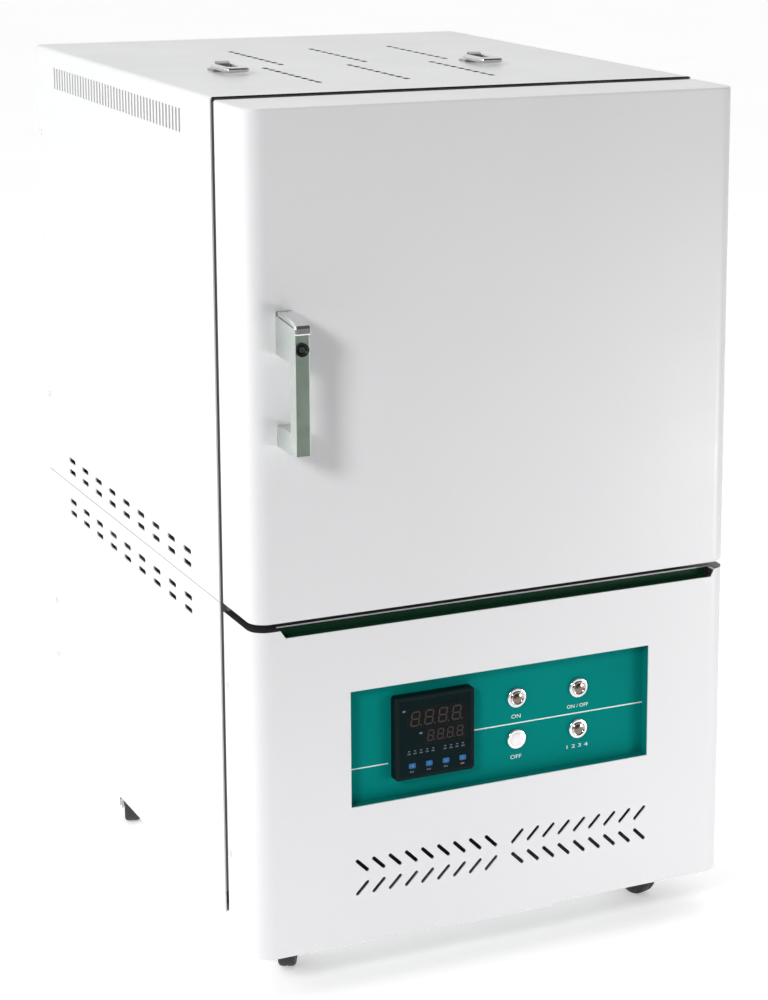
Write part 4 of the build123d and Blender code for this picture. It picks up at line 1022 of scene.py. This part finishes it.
# ---------------------------------------------------------------- camera, lights, floor
cam_data = bpy.data.cameras.new("camera")
cam = bpy.data.objects.new("camera", cam_data)
SCENE.collection.objects.link(cam)
SCENE.camera = cam
yaw, pitch, roll = math.radians(27.85), math.radians(11.88), math.radians(0.63)
fwd = Vector((math.sin(yaw) * math.cos(pitch), math.cos(yaw) * math.cos(pitch), -math.sin(pitch)))
r0 = Vector((math.cos(yaw), -math.sin(yaw), 0))
u0 = r0.cross(fwd)
right = r0 * math.cos(roll) + u0 * math.sin(roll)
up = -r0 * math.sin(roll) + u0 * math.cos(roll)
rot = Matrix((right, up, -fwd)).transposed()
cam.matrix_world = Matrix.Translation((-1.20045, -2.83310, 1.28130)) @ rot.to_4x4()
cam_data.sensor_fit = "VERTICAL"
cam_data.sensor_height = 36.0
cam_data.lens = 93.11
cam_data.shift_x = -0.2103
cam_data.shift_y = -0.1472
cam_data.clip_end = 100.0
cam_data.dof.use_dof = False


def area(name, loc, target, size, power, color=(1, 1, 1)):
    ld = bpy.data.lights.new(name, "AREA")
    ld.shape = "RECTANGLE"
    ld.size, ld.size_y = size
    ld.energy = power
    ld.color = color
    lo = bpy.data.objects.new(name, ld)
    SCENE.collection.objects.link(lo)
    lo.location = loc
    lo.rotation_euler = (Vector(target) - Vector(loc)).to_track_quat("-Z", "Y").to_euler()
    return lo


area("light_left", (-3.0, 0.1, 1.3), (0.0, 0.1, 0.5), (3.0, 2.4), 27)
area("light_left_front", (-3.3, -3.0, 2.6), (0.0, -0.36, 0.6), (0.9, 0.9), 102)
area("light_top", (0.6, 0.6, 3.6), (0.0, 0.0, 0.5), (3.0, 3.0), 5.0)
area("light_front", (1.3, -1.5, 0.15), (0.0, -0.36, 0.45), (0.7, 0.5), 13.8)

world = bpy.data.worlds.new("studio")
SCENE.world = world
world.use_nodes = True
wn = world.node_tree
bg = wn.nodes["Background"]
tc = wn.nodes.new("ShaderNodeTexCoord")
dot = wn.nodes.new("ShaderNodeVectorMath")
dot.operation = "DOT_PRODUCT"
dot.inputs[1].default_value = (0.10, 0.72, 0.69)
wn.links.new(tc.outputs["Generated"], dot.inputs[0])
cr = wn.nodes.new("ShaderNodeValToRGB")
cr.color_ramp.elements[0].position = 0.54
cr.color_ramp.elements[0].color = (0.10, 0.098, 0.10, 1)
cr.color_ramp.elements[1].position = 0.80
cr.color_ramp.elements[1].color = (1.0, 1.0, 1.0, 1)
half = wn.nodes.new("ShaderNodeMath")
half.operation = "MULTIPLY_ADD"
half.inputs[1].default_value = 0.5
half.inputs[2].default_value = 0.5
wn.links.new(dot.outputs["Value"], half.inputs[0])
wn.links.new(half.outputs["Value"], cr.inputs["Fac"])
wn.links.new(cr.outputs["Color"], bg.inputs["Color"])
bg.inputs["Strength"].default_value = 0.98

bm = bmesh.new()
R = 14.0
vs = [bm.verts.new((x, y, 0.0)) for x, y in ((-R, -R), (R, -R), (R, R), (-R, R))]
bm.faces.new(vs)
fme = bpy.data.meshes.new("floor")
bm.to_mesh(fme)
bm.free()
floor = bpy.data.objects.new("floor", fme)
SCENE.collection.objects.link(floor)
fm = Mat("floor_pale")
# the sweep is white round the object and falls off towards the front of the studio
sep = fm.node("ShaderNodeSeparateXYZ")
fm.link(fm.tc.outputs["Object"], sep.inputs[0])
fall = fm.remap(sep.outputs["Y"], 0.33, 1.0, -1.5, -0.95)
fm.color(fm.mix(1.0, fm.ramp(fm.noise(1.3, 3.0), [(0.3, (0.90, 0.90, 0.905)), (0.7, (0.92, 0.92, 0.925))]), fall, "MULTIPLY"))
fm.link(fm.remap(fall, 0.0, 0.36, 0.33, 1.0), fm.b.inputs["Emission Strength"])
fm.set(Roughness=0.85, Specular_IOR_Level=0.1)
fm.b.inputs["Emission Color"].default_value = (1.0, 1.0, 1.0, 1.0)
fme.materials.append(fm.m)

SCENE.view_settings.view_transform = "Standard"
SCENE.view_settings.look = "None"
SCENE.view_settings.exposure = 0.0
